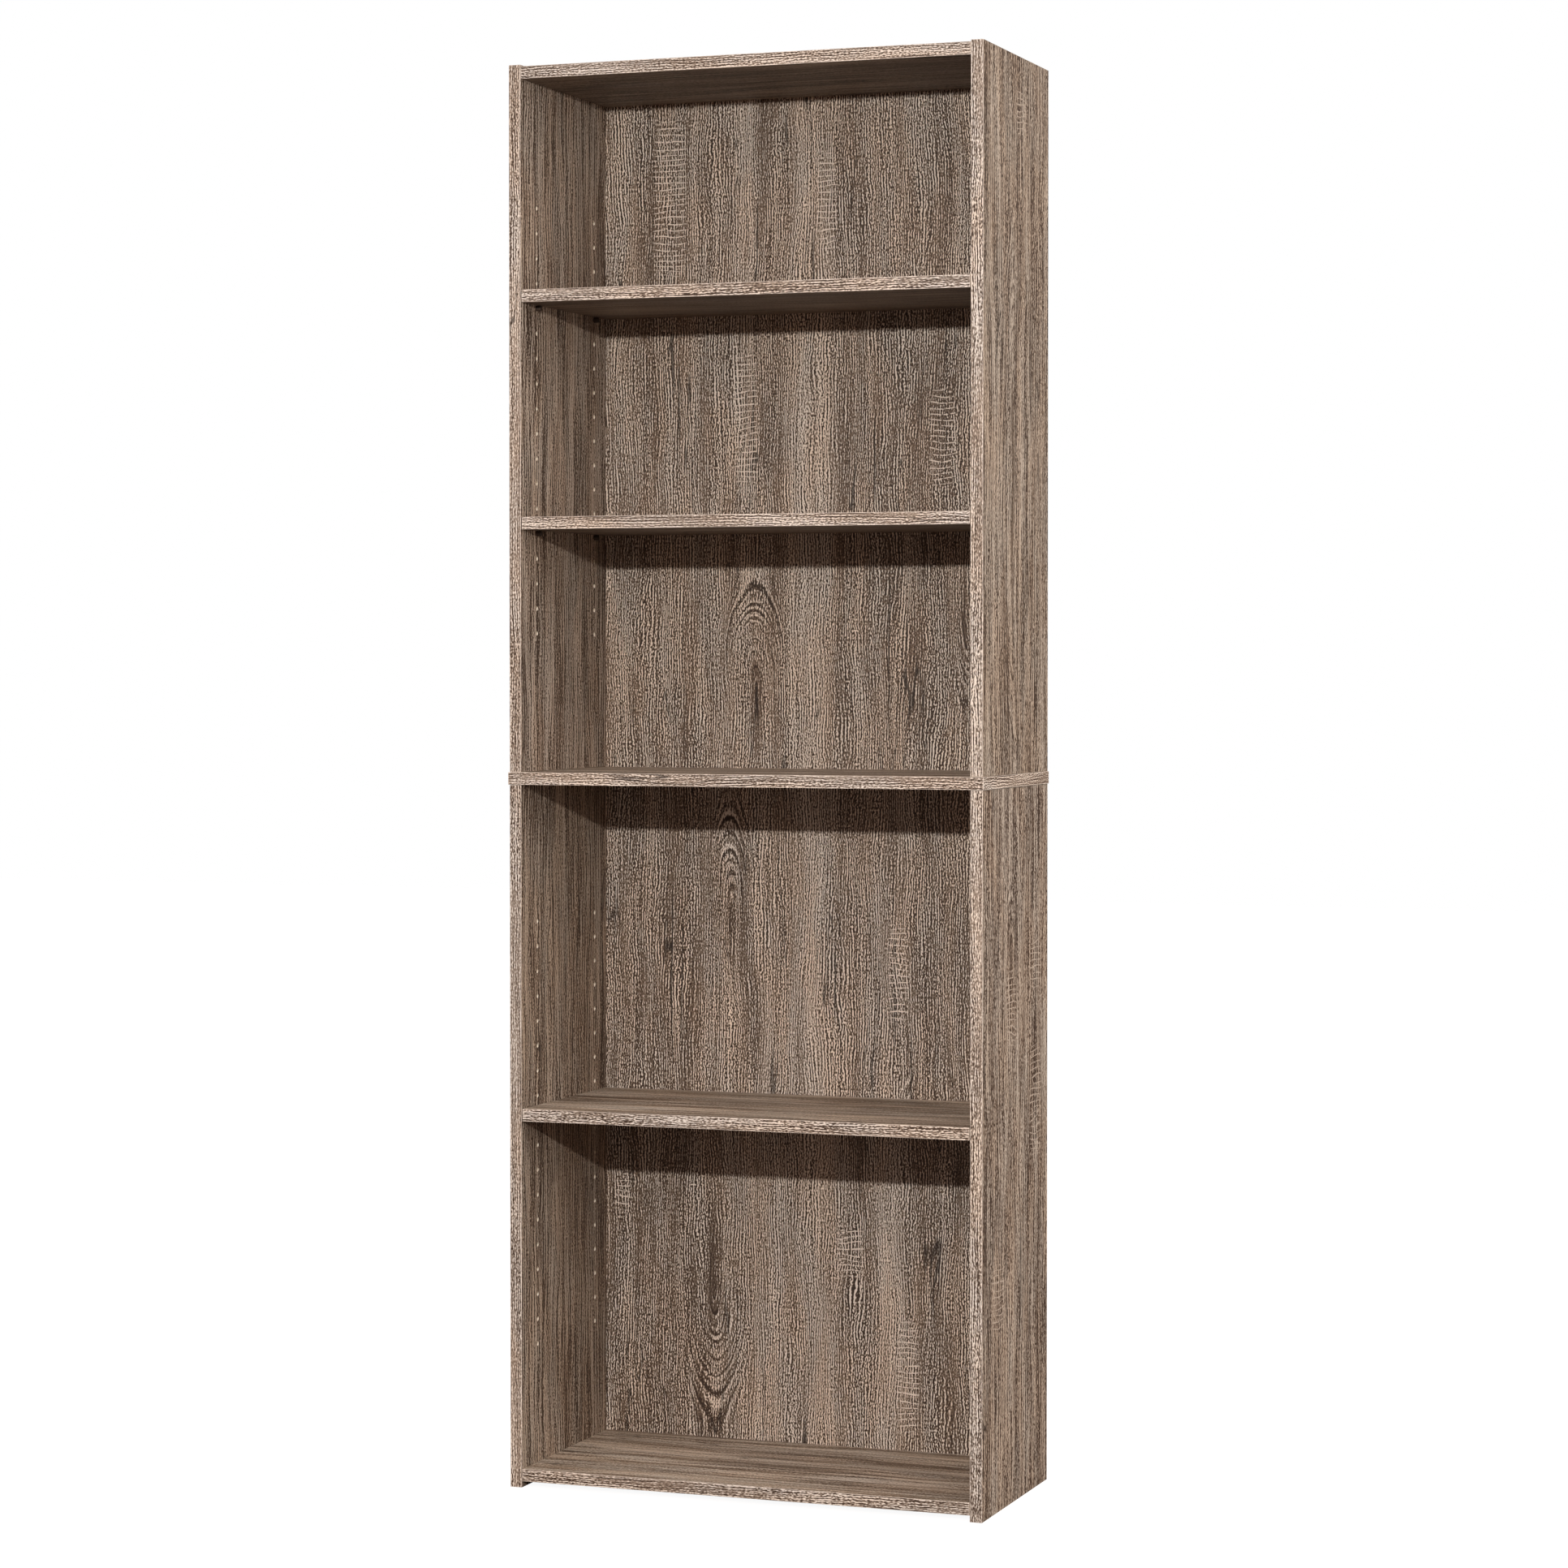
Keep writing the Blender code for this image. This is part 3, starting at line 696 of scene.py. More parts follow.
def stations(low, high, radius, spans):
    """Lattice lines along one axis: close together over each arris, one at each span's ends."""
    near = [low, low + radius * (1 - ARRIS_STEP), low + radius]
    far = [high - radius, high - radius * (1 - ARRIS_STEP), high]
    return np.array(near + [edge for span in spans for edge in span] + far)


def bore(face, centre, profile, margin=0.0012, through=None):
    """A round bore: face is (axis, +1 or -1), centre its two other coordinates in axis order,
    profile its (radius, depth) steps, and through the radius where it leaves the far side."""
    widest = max([step[0] for step in profile] + [through or 0.0])
    return {"face": face, "centre": centre, "profile": profile, "cell": widest + margin, "through": through}


def plain_bore(radius, depth):
    """Profile of a bore with one straight wall."""
    return [(radius, 0.0), (radius, depth)]


def cell_of(item, lattice):
    """A bore's middle, by axis, and the lattice cell that holds it."""
    axis = item["face"][0]
    first, second = (axis + 1) % 3, (axis + 2) % 3
    centre = dict(zip(sorted((first, second)), item["centre"]))
    return centre, [int(np.searchsorted(lattice[a], centre[a]) - 1) for a in (first, second)]


def ring_patch(surface, corner_ids, ring_ids, flat, slot, facing, flip):
    """Fill between a cell's four corners and a circle: a fan from each corner over its
    quarter of the circle, and a triangle between each two corners."""
    quarter = RING // 4
    steps = np.arange(RING)
    fans = np.stack([corner_ids[steps // quarter], ring_ids[(steps + 1) % RING], ring_ids[steps]], axis=1)
    turn = np.arange(4)
    shared = ring_ids[((turn + 1) * quarter) % RING]
    between = np.stack([corner_ids, corner_ids[(turn + 1) % 4], shared], axis=1)
    faces = np.concatenate([fans, between])
    surface.add_faces(faces[:, ::-1] if flip else faces, flat, slot, facing)


def cut_bore(surface, item, lattice, ids, slots, box):
    """Swap one lattice cell for a bore. The wall is a stack of circles whose radii and
    depths follow the bore's profile; it ends in a shallow cone or at the far face."""
    axis, side = item["face"]
    first, second = (axis + 1) % 3, (axis + 2) % 3
    centre, cells = cell_of(item, lattice)
    unit = np.eye(3)
    angles = 2 * math.pi * np.arange(RING) / RING
    radial = np.outer(np.cos(angles), unit[first]) + np.outer(np.sin(angles), unit[second])
    middle = centre[first] * unit[first] + centre[second] * unit[second]

    def corners(end):
        steps = ((1, 1), (0, 1), (0, 0), (1, 0))
        picked = []
        for up, over in steps:
            at = [0, 0, 0]
            at[axis] = len(lattice[axis]) - 1 if end > 0 else 0
            at[first], at[second] = cells[0] + up, cells[1] + over
            picked.append(ids[tuple(at)])
        return np.array(picked)

    level = box[side > 0][axis]
    profile = list(item["profile"])
    if item["through"]:
        thickness = box[1][axis] - box[0][axis]
        profile.append((item["through"], thickness))
    rings = []
    for radius, depth in profile:
        points = middle + unit[axis] * (level - side * depth) + radial * radius
        rings.append(surface.add_points(points) + np.arange(RING))
    flip = side < 0
    ring_patch(surface, corners(side), rings[0], unit[axis] * side, slots[item["face"]], axis, flip)
    after = (np.arange(RING) + 1) % RING
    for upper, lower in zip(rings, rings[1:]):
        faces = np.stack([upper, upper[after], lower[after], lower], axis=1)
        inward = np.stack([-radial, -radial[after], -radial[after], -radial], axis=1)
        if flip:
            faces, inward = faces[:, ::-1], inward[:, ::-1]
        surface.add_faces(faces, inward, slots["core"])
    if item["through"]:
        far_slot = slots[(axis, -side)]
        ring_patch(surface, corners(-side), rings[-1], -unit[axis] * side, far_slot, axis, not flip)
    else:
        radius, depth = profile[-1]
        tip = surface.add_points(middle + unit[axis] * (level - side * (depth + CONE * radius)))
        faces = np.stack([rings[-1], rings[-1][after], np.full(RING, tip)], axis=1)
        surface.add_faces(faces[:, ::-1] if flip else faces, unit[axis] * side, slots["core"])


def board(name, box, grain, materials, slots, radius=0.0005, bores=(), sheet=0.0):
    """A board between two corners. Lattice points are clipped to the box shrunk by the
    arris radius and pushed out from there by the radius, which rounds every edge."""
    low, high = (np.array(corner, dtype=float) for corner in box)
    spans = {0: [], 1: [], 2: []}
    for item in bores:
        square = [a for a in (0, 1, 2) if a != item["face"][0]]
        for axis, value in zip(square, item["centre"]):
            spans[axis].append((value - item["cell"], value + item["cell"]))
    spans = {axis: merge_spans(found) for axis, found in spans.items()}
    lattice = [stations(low[a], high[a], radius, spans[a]) for a in range(3)]
    counts = [len(line) for line in lattice]

    grid = np.stack(np.meshgrid(*[np.arange(c) for c in counts], indexing="ij"), axis=-1)
    shell = ((grid == 0) | (grid == np.array(counts) - 1)).any(axis=-1)
    ids = np.full(counts, -1)
    ids[shell] = np.arange(shell.sum())
    where = grid[shell]
    points = np.stack([lattice[a][where[:, a]] for a in range(3)], axis=1)
    inner = np.clip(points, low + radius, high - radius)
    away = points - inner
    away /= np.linalg.norm(away, axis=1, keepdims=True)
    surface = Surface()
    surface.add_points(inner + radius * away)

    for axis in range(3):
        for side in (-1, 1):
            turned_ids = np.moveaxis(ids, (axis, (axis + 1) % 3, (axis + 2) % 3), (0, 1, 2))
            layer = turned_ids[-1 if side > 0 else 0]
            quads = np.stack([layer[:-1, :-1], layer[1:, :-1], layer[1:, 1:], layer[:-1, 1:]], axis=-1)
            keep = np.ones(quads.shape[:2], dtype=bool)
            for item in bores:
                if item["face"] == (axis, side) or (item["through"] and item["face"] == (axis, -side)):
                    keep[tuple(cell_of(item, lattice)[1])] = False
            faces = quads[keep]
            if side < 0:
                faces = faces[:, ::-1]
            surface.add_faces(faces, away[faces], slots[(axis, side)], axis)
    for item in bores:
        cut_bore(surface, item, lattice, ids, slots, (low, high))

    piece = surface.build(name, materials)
    write_print(piece.data, surface, low, high, grain, sheet)
    return piece


def write_print(mesh, surface, low, high, grain, sheet):
    """Where each corner lies on the printed sheet. Along is the grain axis, or on an end
    face the longer way; across is what is left; the third number picks the sheet. The
    place from the face's middle and the face's half size go with it."""
    points = np.concatenate(surface.points)
    middle = (low + high) / 2
    half = (high - low) / 2
    rows = {"grain": [], "from_middle": [], "half_size": []}
    for faces, normals, _, facing in surface.parts:
        axis = facing if facing is not None else grain
        rest = [a for a in (0, 1, 2) if a != axis]
        along = grain if grain in rest else max(rest, key=lambda a: half[a])
        across = next(a for a in rest if a != along)
        at = points[faces.ravel()]
        side = np.sign(normals.reshape(-1, 3)[:, axis])
        number = sheet + axis + FACE_STEP * side
        rows["grain"].append(np.stack([at[:, along], at[:, across], number], axis=1))
        near = np.stack([at[:, along] - middle[along], at[:, across] - middle[across], number], axis=1)
        rows["from_middle"].append(near)
        rows["half_size"].append(np.broadcast_to([half[along], half[across], 0.0], (len(at), 3)))
    for name, values in rows.items():
        write_vectors(mesh, name, np.concatenate(values))


# %% [markdown]
# ## The panels
# Each panel takes its place from its CAD node. Sides and backs have upright grain, the
# shelves lengthwise grain. Front edges and the ends that show are banded; rear edges and
# hidden ends are bare chipboard. The pin holes are drilled through the foil, so their
# walls show the pale core.

# %% Panels
X, Y, Z = 0, 1, 2
SIDE_FOILS = {"lower": (foil_side_lower, foil_outer_lower), "upper": (foil_side, foil_outer_upper)}
SIDE_SLOTS = {(X, -1): 0, (X, 1): 0, (Y, -1): 1, (Y, 1): 2, (Z, -1): 2, (Z, 1): 1, "core": 4}
SHELF_MATERIALS = [shelf_top_foil_painted_light, foil_edge, core, underside_foil_painted_shade]
SHELF_SLOTS = {(X, -1): 2, (X, 1): 2, (Y, -1): 1, (Y, 1): 2, (Z, -1): 3, (Z, 1): 0, "core": 2}
FIXED_SLOTS = {**SHELF_SLOTS, (X, -1): 1, (X, 1): 1}
BACK_MATERIALS = {"lower": [foil_back_lower, hardboard], "upper": [foil_back_upper, hardboard]}
BACK_SLOTS = {(X, -1): 1, (X, 1): 1, (Y, -1): 0, (Y, 1): 1, (Z, -1): 1, (Z, 1): 1, "core": 1}


def in_from_both(front_inset, rear_inset):
    """Y of the front and the rear row, measured in from the edges of a side panel."""
    return FRONT + front_inset, REAR - rear_inset


(INNER, FRONT, SIDE_FOOT), (OUTER, REAR, SIDE_TOP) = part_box("side_lower_right")
EDGE_X = (INNER + OUTER) / 2
MIDDLE_Y = (FRONT + REAR) / 2
PIN_COLUMNS = in_from_both(0.0505, 0.0405)
BOLT_ROWS = in_from_both(0.060, 0.060)
DOWEL_ROWS = in_from_both(0.095, 0.095)
SCREW_ROWS = in_from_both(0.050, 0.050)
PIN_PITCH, PIN_HOLES = 0.032, 18
FIRST_HOLE = (SIDE_TOP - SIDE_FOOT - (PIN_HOLES - 1) * PIN_PITCH) / 2
NAIL_INSET, CAM_INSET = 0.060, 0.034
NECK_RADIUS, NAIL_RADIUS = 0.0037, 0.0011
PIN_BORE = [(0.0029, 0.0), (0.0025, 0.0005), (0.0025, 0.0095)]     # with a small broken lip
HEAD_BORE = [(0.00505, 0.0), (0.00505, 0.0038), (NECK_RADIUS, 0.0038)]
NAIL_SINK = [(0.0023, 0.0), (0.0023, 0.001), (NAIL_RADIUS, 0.001)]
BOLT_BORE = plain_bore(0.0033, 0.0115)
SCREW_BORE = plain_bore(0.0033, 0.035)
SHAFT_BORE = plain_bore(0.0034, 0.0251)
CAM_BORE = plain_bore(0.0078, 0.0131)
SHORT_DOWEL_BORE = plain_bore(0.0043, 0.0115)
LONG_DOWEL_BORE = plain_bore(0.0043, 0.0205)
NAIL_BORE = plain_bore(NAIL_RADIUS, 0.0195)


def both_sides(face, x, rows, profile, **how):
    """The same bore at x and -x in every row."""
    return [bore(face, (side * x, row), profile, **how) for side in (-1, 1) for row in rows]


def nail_rows(section):
    """Heights of the nails in one section."""
    low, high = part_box(f"side_{section}_left")
    return low[2] + NAIL_INSET, high[2] - NAIL_INSET


def finish_piece(piece, node, body="carcass"):
    """Hide the node that a piece stands for, and hang the piece on the body it rides on."""
    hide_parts(node)
    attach(piece, body)
    return piece


def panel_board(node, grain, materials, slots, slot="oak_laminate", body="carcass", **how):
    """The board that stands for a node."""
    piece = board(f"{node}_board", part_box(node), grain, materials, slots, **how)
    return finish_piece(piece, node, body)


def side_panel(section, side, sheet):
    """One side panel with its pin holes, fitting bores and nail holes."""
    node = f"side_{section}_{'left' if side < 0 else 'right'}"
    first_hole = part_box(node)[0][2] + FIRST_HOLE
    inner = (X, -side)
    bores = [bore(inner, (y, first_hole + i * PIN_PITCH), PIN_BORE)
             for y in PIN_COLUMNS for i in range(PIN_HOLES)]
    low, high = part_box("top_panel" if section == "upper" else "bottom_panel")
    level = (low[2] + high[2]) / 2
    bores += [bore(inner, (y, level), BOLT_BORE) for y in BOLT_ROWS]
    bores.append(bore(inner, (MIDDLE_Y, level), SHORT_DOWEL_BORE))
    if section == "upper":
        bores += [bore((Z, -1), (side * EDGE_X, y), LONG_DOWEL_BORE) for y in DOWEL_ROWS]
    else:
        bores += [bore((Z, 1), (side * EDGE_X, y), SCREW_BORE) for y in SCREW_ROWS]
    bores += [bore((Y, 1), (side * EDGE_X, z), NAIL_BORE) for z in nail_rows(section)]
    inside, outside = SIDE_FOILS[section]
    materials = [inside, foil_edge, core, outside, pale_core]
    return panel_board(node, Z, materials, {**SIDE_SLOTS, (X, side): 3}, bores=bores, sheet=sheet)


side_pieces = [side_panel(section, side, sheet)
               for section, side, sheet in (("lower", -1, 10.0), ("lower", 1, 20.0),
                                            ("upper", -1, 30.0), ("upper", 1, 40.0))]
print("side panel faces", [len(p.data.polygons) for p in side_pieces])


# %% Shelves and fixed panels
def loose_shelf(name, sheet):
    """A plain board with banded front edge that rides on its own body."""
    return panel_board(f"shelf_{name}", X, SHELF_MATERIALS, SHELF_SLOTS, body=f"{name}_shelf", sheet=sheet)


def end_panel(node, opening, sheet):
    """Top or bottom panel: cam pockets in the hidden face, bolt and dowel bores in the ends."""
    low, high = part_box(node)
    level = (low[2] + high[2]) / 2
    bores = both_sides((Z, opening), high[0] - CAM_INSET, BOLT_ROWS, CAM_BORE)
    for side in (-1, 1):
        bores += [bore((X, side), (y, level), SHAFT_BORE) for y in BOLT_ROWS]
        bores.append(bore((X, side), (MIDDLE_Y, level), LONG_DOWEL_BORE))
    return panel_board(node, X, SHELF_MATERIALS, SHELF_SLOTS, bores=bores, sheet=sheet)


def fixed_shelf():
    """Full-width shelf between the sections, with stepped screw holes and dowel holes."""
    bores = both_sides((Z, 1), EDGE_X, SCREW_ROWS, HEAD_BORE, through=NECK_RADIUS)
    bores += both_sides((Z, 1), EDGE_X, DOWEL_ROWS, SHORT_DOWEL_BORE)
    return panel_board("fixed_shelf", X, SHELF_MATERIALS, FIXED_SLOTS, bores=bores, sheet=50.0)


shelf_pieces = [loose_shelf("upper", 60.0), loose_shelf("middle", 70.0), loose_shelf("lower", 80.0)]
end_pieces = [end_panel("top_panel", 1, 90.0), end_panel("bottom_panel", -1, 100.0)]
fixed_piece = fixed_shelf()
print("shelves", [piece.name for piece in (*shelf_pieces, *end_pieces, fixed_piece)])


# %% Back boards
def back_board(section):
    """Thin printed board; both sections are cut from the same print, so the figure repeats."""
    bores = both_sides((Y, 1), EDGE_X, nail_rows(section), NAIL_SINK, through=NAIL_RADIUS, margin=0.0006)
    return panel_board(f"back_{section}", Z, BACK_MATERIALS[section], BACK_SLOTS, "back_board",
                       radius=0.0003, bores=bores, sheet=110.0)


back_pieces = [back_board("lower"), back_board("upper")]
print("backs", [piece.name for piece in back_pieces])

# %% [markdown]
# ## Turned pieces
# Pins, bolts, screws, dowels and nails are all made on a lathe or a header: a profile of
# radii along an axis, swept round it. Threads and flutes are the same sweep with the
# radius varied by angle and height together.


# %% Turned shapes
def frame_of(axis):
    """The axis, and two unit vectors square to it that turn anticlockwise about it."""
    axis = np.array(axis, dtype=float)
    first = np.array([0.0, 0.0, 1.0]) if abs(axis[2]) < 0.5 else np.array([1.0, 0.0, 0.0])
    second = np.cross(axis, first)
    return axis, first, second


CREASE = math.radians(35)
TINY = 1e-15


def sweep_normals(rings):
    """Outward normals at both ends of each step from ring to ring. Round the ring they are
    smooth; along the profile, steps that meet at less than the crease angle share a normal."""
    across = np.roll(rings, -1, axis=1)
    flat = np.cross(across[1:] - rings[:-1], rings[1:] - across[:-1])
    flat = flat + np.roll(flat, 1, axis=1)
    flat /= np.maximum(np.linalg.norm(flat, axis=2, keepdims=True), TINY)
    joined = (flat[:-1] * flat[1:]).sum(axis=2) > math.cos(CREASE)
    shared = flat[:-1] + flat[1:]
    shared /= np.maximum(np.linalg.norm(shared, axis=2, keepdims=True), TINY)
    start, end = flat.copy(), flat.copy()
    start[1:][joined] = shared[joined]
    end[:-1][joined] = shared[joined]
    return start, end


def turned(name, profile, start, axis, material, facets=24, shape=None):
    """A turned piece: (distance, radius) steps swept round an axis. Each point is start +
    distance * axis + radius * (cos, sin) in the plane square to it. shape may move a point
    along and outward by its distance, radius and angle. Both ends are closed by a fan."""
    axis, first, second = frame_of(axis)
    profile = np.array(profile, dtype=float)
    angles = 2 * math.pi * np.arange(facets) / facets
    distance = np.repeat(profile[:, :1], facets, axis=1)
    radius = np.repeat(profile[:, 1:], facets, axis=1)
    if shape is not None:
        along, out = shape(distance, radius, angles[None, :])
        distance, radius = distance + along, radius + out
    radial = np.outer(np.cos(angles), first) + np.outer(np.sin(angles), second)
    rings = np.array(start) + distance[..., None] * axis + radius[..., None] * radial
    surface = Surface()
    ids = surface.add_points(rings) + np.arange(distance.size).reshape(distance.shape)
    after = (np.arange(facets) + 1) % facets
    faces = np.stack([ids[:-1], ids[:-1][:, after], ids[1:][:, after], ids[1:]], axis=-1)
    low, high = sweep_normals(rings)
    normals = np.stack([low, low[:, after], high[:, after], high], axis=2)
    surface.add_faces(faces.reshape(-1, 4), normals.reshape(-1, 4, 3), 0)
    for ring, points, direction in ((ids[0], rings[0], -axis), (ids[-1], rings[-1], axis)):
        tip = surface.add_points(points.mean(axis=0))
        fan = np.stack([ring, ring[after], np.full(facets, tip)], axis=1)
        surface.add_faces(fan if direction is axis else fan[:, ::-1], direction, 0)
    return surface.build(name, [material])


def fitting(node, made, slot, material, profile, start, axis, body="carcass", **how):
    """The turned piece that stands for a node; made says how the real one is made."""
    piece = turned(f"{node}_{made}", profile, start, axis, material, **how)
    return finish_piece(piece, node, body=body)


def round_edge(distance, radius, corner):
    """Quarter circle that ends a cylinder: from its wall in to its face."""
    turn = np.linspace(0, math.pi / 2, 5)
    return list(zip(distance - corner + corner * np.sin(turn), radius - corner + corner * np.cos(turn)))


# %% Shelf pins
PIN_SHANK, PIN_SHANK_LENGTH = 0.0024, 0.008
PIN_HEAD, PIN_HEAD_LENGTH = 0.0035, 0.0065
SEAT = 0.0003


def shelf_pin(shelf, row, side):
    """Push-in pin: ribbed shank in the hole, a round head with a softened rim."""
    pin_name = f"pin_{row}_{'left' if side < 0 else 'right'}"
    node = f"shelf_{shelf}_{pin_name}"
    low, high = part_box(node)
    centre_z = high[2] - PIN_HEAD
    y = (low[1] + high[1]) / 2
    start = (side * INNER, y, centre_z)
    end = SEAT + PIN_HEAD_LENGTH
    profile = [(-PIN_SHANK_LENGTH, 0.0017), (-PIN_SHANK_LENGTH + 0.0007, PIN_SHANK)]
    for ridge in range(3):
        at = -0.0062 + 0.002 * ridge
        valley = PIN_SHANK - 0.0002
        profile += [(at, PIN_SHANK), (at + 0.0003, valley), (at + 0.0009, valley), (at + 0.0012, PIN_SHANK)]
    profile += [(SEAT, PIN_SHANK), (SEAT, PIN_HEAD - 0.0003), (SEAT + 0.0003, PIN_HEAD)]
    profile += round_edge(end, PIN_HEAD, 0.0012)
    profile.append((end, 0.0008))
    return fitting(node, "turned", "pin_plastic", pin_plastic, profile, start, (-side, 0, 0),
                   body=f"{shelf}_shelf_{pin_name}", facets=32)


pins = [shelf_pin(shelf, row, side)
        for shelf in ("upper", "middle", "lower") for row in ("front", "rear") for side in (-1, 1)]
print("pins", len(pins), "faces each", len(pins[0].data.polygons))

# %% [markdown]
# ## Fittings
# Cams pull the bolts that hold the top and bottom panels; wooden dowels locate them.
# Long countersunk screws tie the fixed shelf to the lower sides, and small nails hold the
# backs. They are die cast, rolled or headed in real life. Each is a turned profile here,
# with the thread, the flutes and the cross added as a wave on its surface.


# %% Threads, flutes and the cross
def smooth_step(value, low, high):
    """0 below low, 1 above high, smooth between."""
    share = np.clip((value - low) / (high - low), 0.0, 1.0)
    return share * share * (3 - 2 * share)


def thread(low, high, pitch, depth):
    """A one-start thread between two distances: the radius drops by depth times a triangle
    wave of distance / pitch - angle / (2 pi), fading in at both ends."""
    def cut(distance, radius, angle):
        phase = (distance / pitch - angle / (2 * math.pi)) % 1.0
        valley = 1.0 - np.abs(2.0 * phase - 1.0)
        fade = smooth_step(distance, low, low + pitch) * (1 - smooth_step(distance, high - pitch, high))
        return 0.0, -depth * np.minimum(1.25 * valley, 1.0) * fade
    return cut


def flutes(count, depth):
    """Straight grooves along a dowel: the radius drops by depth at each of count angles."""
    def cut(distance, radius, angle):
        return 0.0, -depth * (0.5 + 0.5 * np.cos(count * angle)) ** 3
    return cut


def cross_recess(arm, half_width, depth):
    """A cross pressed into the face at distance 0: depth times a mask of two arms."""
    def cut(distance, radius, angle):
        u, v = np.abs(radius * np.cos(angle)), np.abs(radius * np.sin(angle))
        longer, shorter = np.maximum(u, v), np.minimum(u, v)
        mask = (1 - smooth_step(shorter, half_width - 0.00012, half_width + 0.00012))
        mask = mask * (1 - smooth_step(longer, arm - 0.0003, arm + 0.0001))
        return depth * mask * (np.abs(distance) < 1e-6), 0.0
    return cut


def face_rings(radius, count):
    """Rings across a flat face, from the middle out."""
    return [(0.0, r) for r in np.linspace(radius / count, radius, count)]


def rolled(low, high, radius, pitch):
    """Rings close enough together to carry a thread: eight in each turn."""
    count = int(round((high - low) / pitch * 8))
    return [(d, radius) for d in np.linspace(low, high, count)]


# %% Cams
SIDES = {"left": -1, "right": 1}
ROWS = {"front": 0, "rear": 1}
CAM_RADIUS, CAM_HEIGHT, CAM_RIM, GAP = 0.0075, 0.0125, 0.0004, 0.0003
END_PANELS = {"top": (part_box("top_panel"), 1), "bottom": (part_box("bottom_panel"), -1)}


def cam(panel, row, side_name):
    """Round cam with a cross in its cap, a soft rim and a waist."""
    (low, high), opening = END_PANELS[panel]
    x = SIDES[side_name] * (high[0] - CAM_INSET)
    face = high[2] if opening > 0 else low[2]
    start = (x, BOLT_ROWS[ROWS[row]], face - opening * GAP)
    profile = face_rings(CAM_RADIUS - CAM_RIM - 0.0001, 36)
    profile += [(CAM_RIM * (1 - math.cos(t)), CAM_RADIUS - CAM_RIM * (1 - math.sin(t)))
                for t in np.linspace(0, math.pi / 2, 5)]
    profile += [(0.0020, CAM_RADIUS), (0.0022, CAM_RADIUS - 0.0006), (0.0104, CAM_RADIUS - 0.0006),
                (0.0106, CAM_RADIUS)]
    profile += round_edge(CAM_HEIGHT, CAM_RADIUS, 0.0003)
    return fitting(f"{panel}_cam_{row}_{side_name}", "cast", "cam_zinc", zinc, profile, start,
                   (0, 0, -opening), facets=72, shape=cross_recess(0.0045, 0.0008, 0.0016))


spots = [(row, side) for row in ROWS for side in SIDES]
cams = [cam(panel, row, side) for panel in END_PANELS for row, side in spots]
print("cams", len(cams), "faces each", len(cams[0].data.polygons))


# %% Bolts, screws, dowels and nails
SHELF_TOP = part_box("fixed_shelf")[1][2]
BOLT_PITCH, BOLT_THREAD_DEPTH = 0.0016, 0.0007
SCREW_PITCH, SCREW_THREAD_DEPTH = 0.0026, 0.0009


def cam_bolt(panel, row, side_name):
    """Bolt with a coarse thread in the side panel, a shaft, a thin neck and a head."""
    (low, high), _ = END_PANELS[panel]
    side = SIDES[side_name]
    start = (side * INNER, BOLT_ROWS[ROWS[row]], (low[2] + high[2]) / 2)
    head = GAP + CAM_INSET - 0.0030
    profile = [(-0.0105, 0.0016), (-0.0098, 0.0029)] + rolled(-0.0095, -0.0004, 0.0030, BOLT_PITCH)
    profile += [(0.0, 0.0030), (0.0, 0.0031), (head - 0.0049, 0.0031), (head - 0.0045, 0.0020)]
    profile += [(head, 0.0020), (head + 0.0002, 0.0032), (head + 0.0006, 0.0034)]
    profile += round_edge(head + 0.0052, 0.0034, 0.0012)
    return fitting(f"{panel}_cam_bolt_{row}_{side_name}", "rolled", "bolt_steel", bolt_steel, profile,
                   start, (-side, 0, 0), shape=thread(-0.0098, -0.0004, BOLT_PITCH, BOLT_THREAD_DEPTH))


def dowel(node, start, axis):
    """Fluted dowel with chamfered ends, seated 10.5 mm deep in one board."""
    profile = [(-0.0105, 0.0031), (-0.0095, 0.0040), (0.0185, 0.0040), (0.0195, 0.0031)]
    return fitting(node, "fluted", "dowel_beech", beech, profile, start, axis, facets=72,
                   shape=flutes(12, 0.0003))


def connector_screw(row, side_name):
    """Countersunk screw through the fixed shelf into the top of a lower side."""
    start = (SIDES[side_name] * EDGE_X, SCREW_ROWS[ROWS[row]], SHELF_TOP - 0.0005)
    profile = face_rings(0.0044, 24)
    profile += [(0.0001, 0.0046), (0.0004, 0.00475), (0.0008, 0.0047), (0.0030, 0.0036), (0.0031, 0.0034),
                (0.0135, 0.0034), (0.0137, 0.0030)]
    profile += rolled(0.0140, 0.0480, 0.0030, SCREW_PITCH) + [(0.0486, 0.0027), (0.0500, 0.0010)]
    cross = cross_recess(0.0026, 0.0006, 0.0020)
    winding = thread(0.0140, 0.0482, SCREW_PITCH, SCREW_THREAD_DEPTH)

    def shape(distance, radius, angle):
        return cross(distance, radius, angle)[0], winding(distance, radius, angle)[1]

    return fitting(f"connector_screw_{row}_{side_name}", "rolled", "screw_steel", screw_steel, profile,
                   start, (0, 0, -1), facets=32, shape=shape)


def back_nail(section, end, side_name):
    """Small flat-headed nail, flush with the back."""
    node = f"back_nail_{section}_{end}_{side_name}"
    low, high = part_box(node)
    start = ((low[0] + high[0]) / 2, high[1], (low[2] + high[2]) / 2)
    profile = [(0.00002, 0.0016), (0.0001, 0.0019), (0.0003, 0.0020), (0.0007, 0.0019), (0.0007, 0.0008),
               (0.0204, 0.0008), (0.0220, 0.0002)]
    return fitting(node, "headed", "screw_steel", screw_steel, profile, start, (0, -1, 0), facets=20)


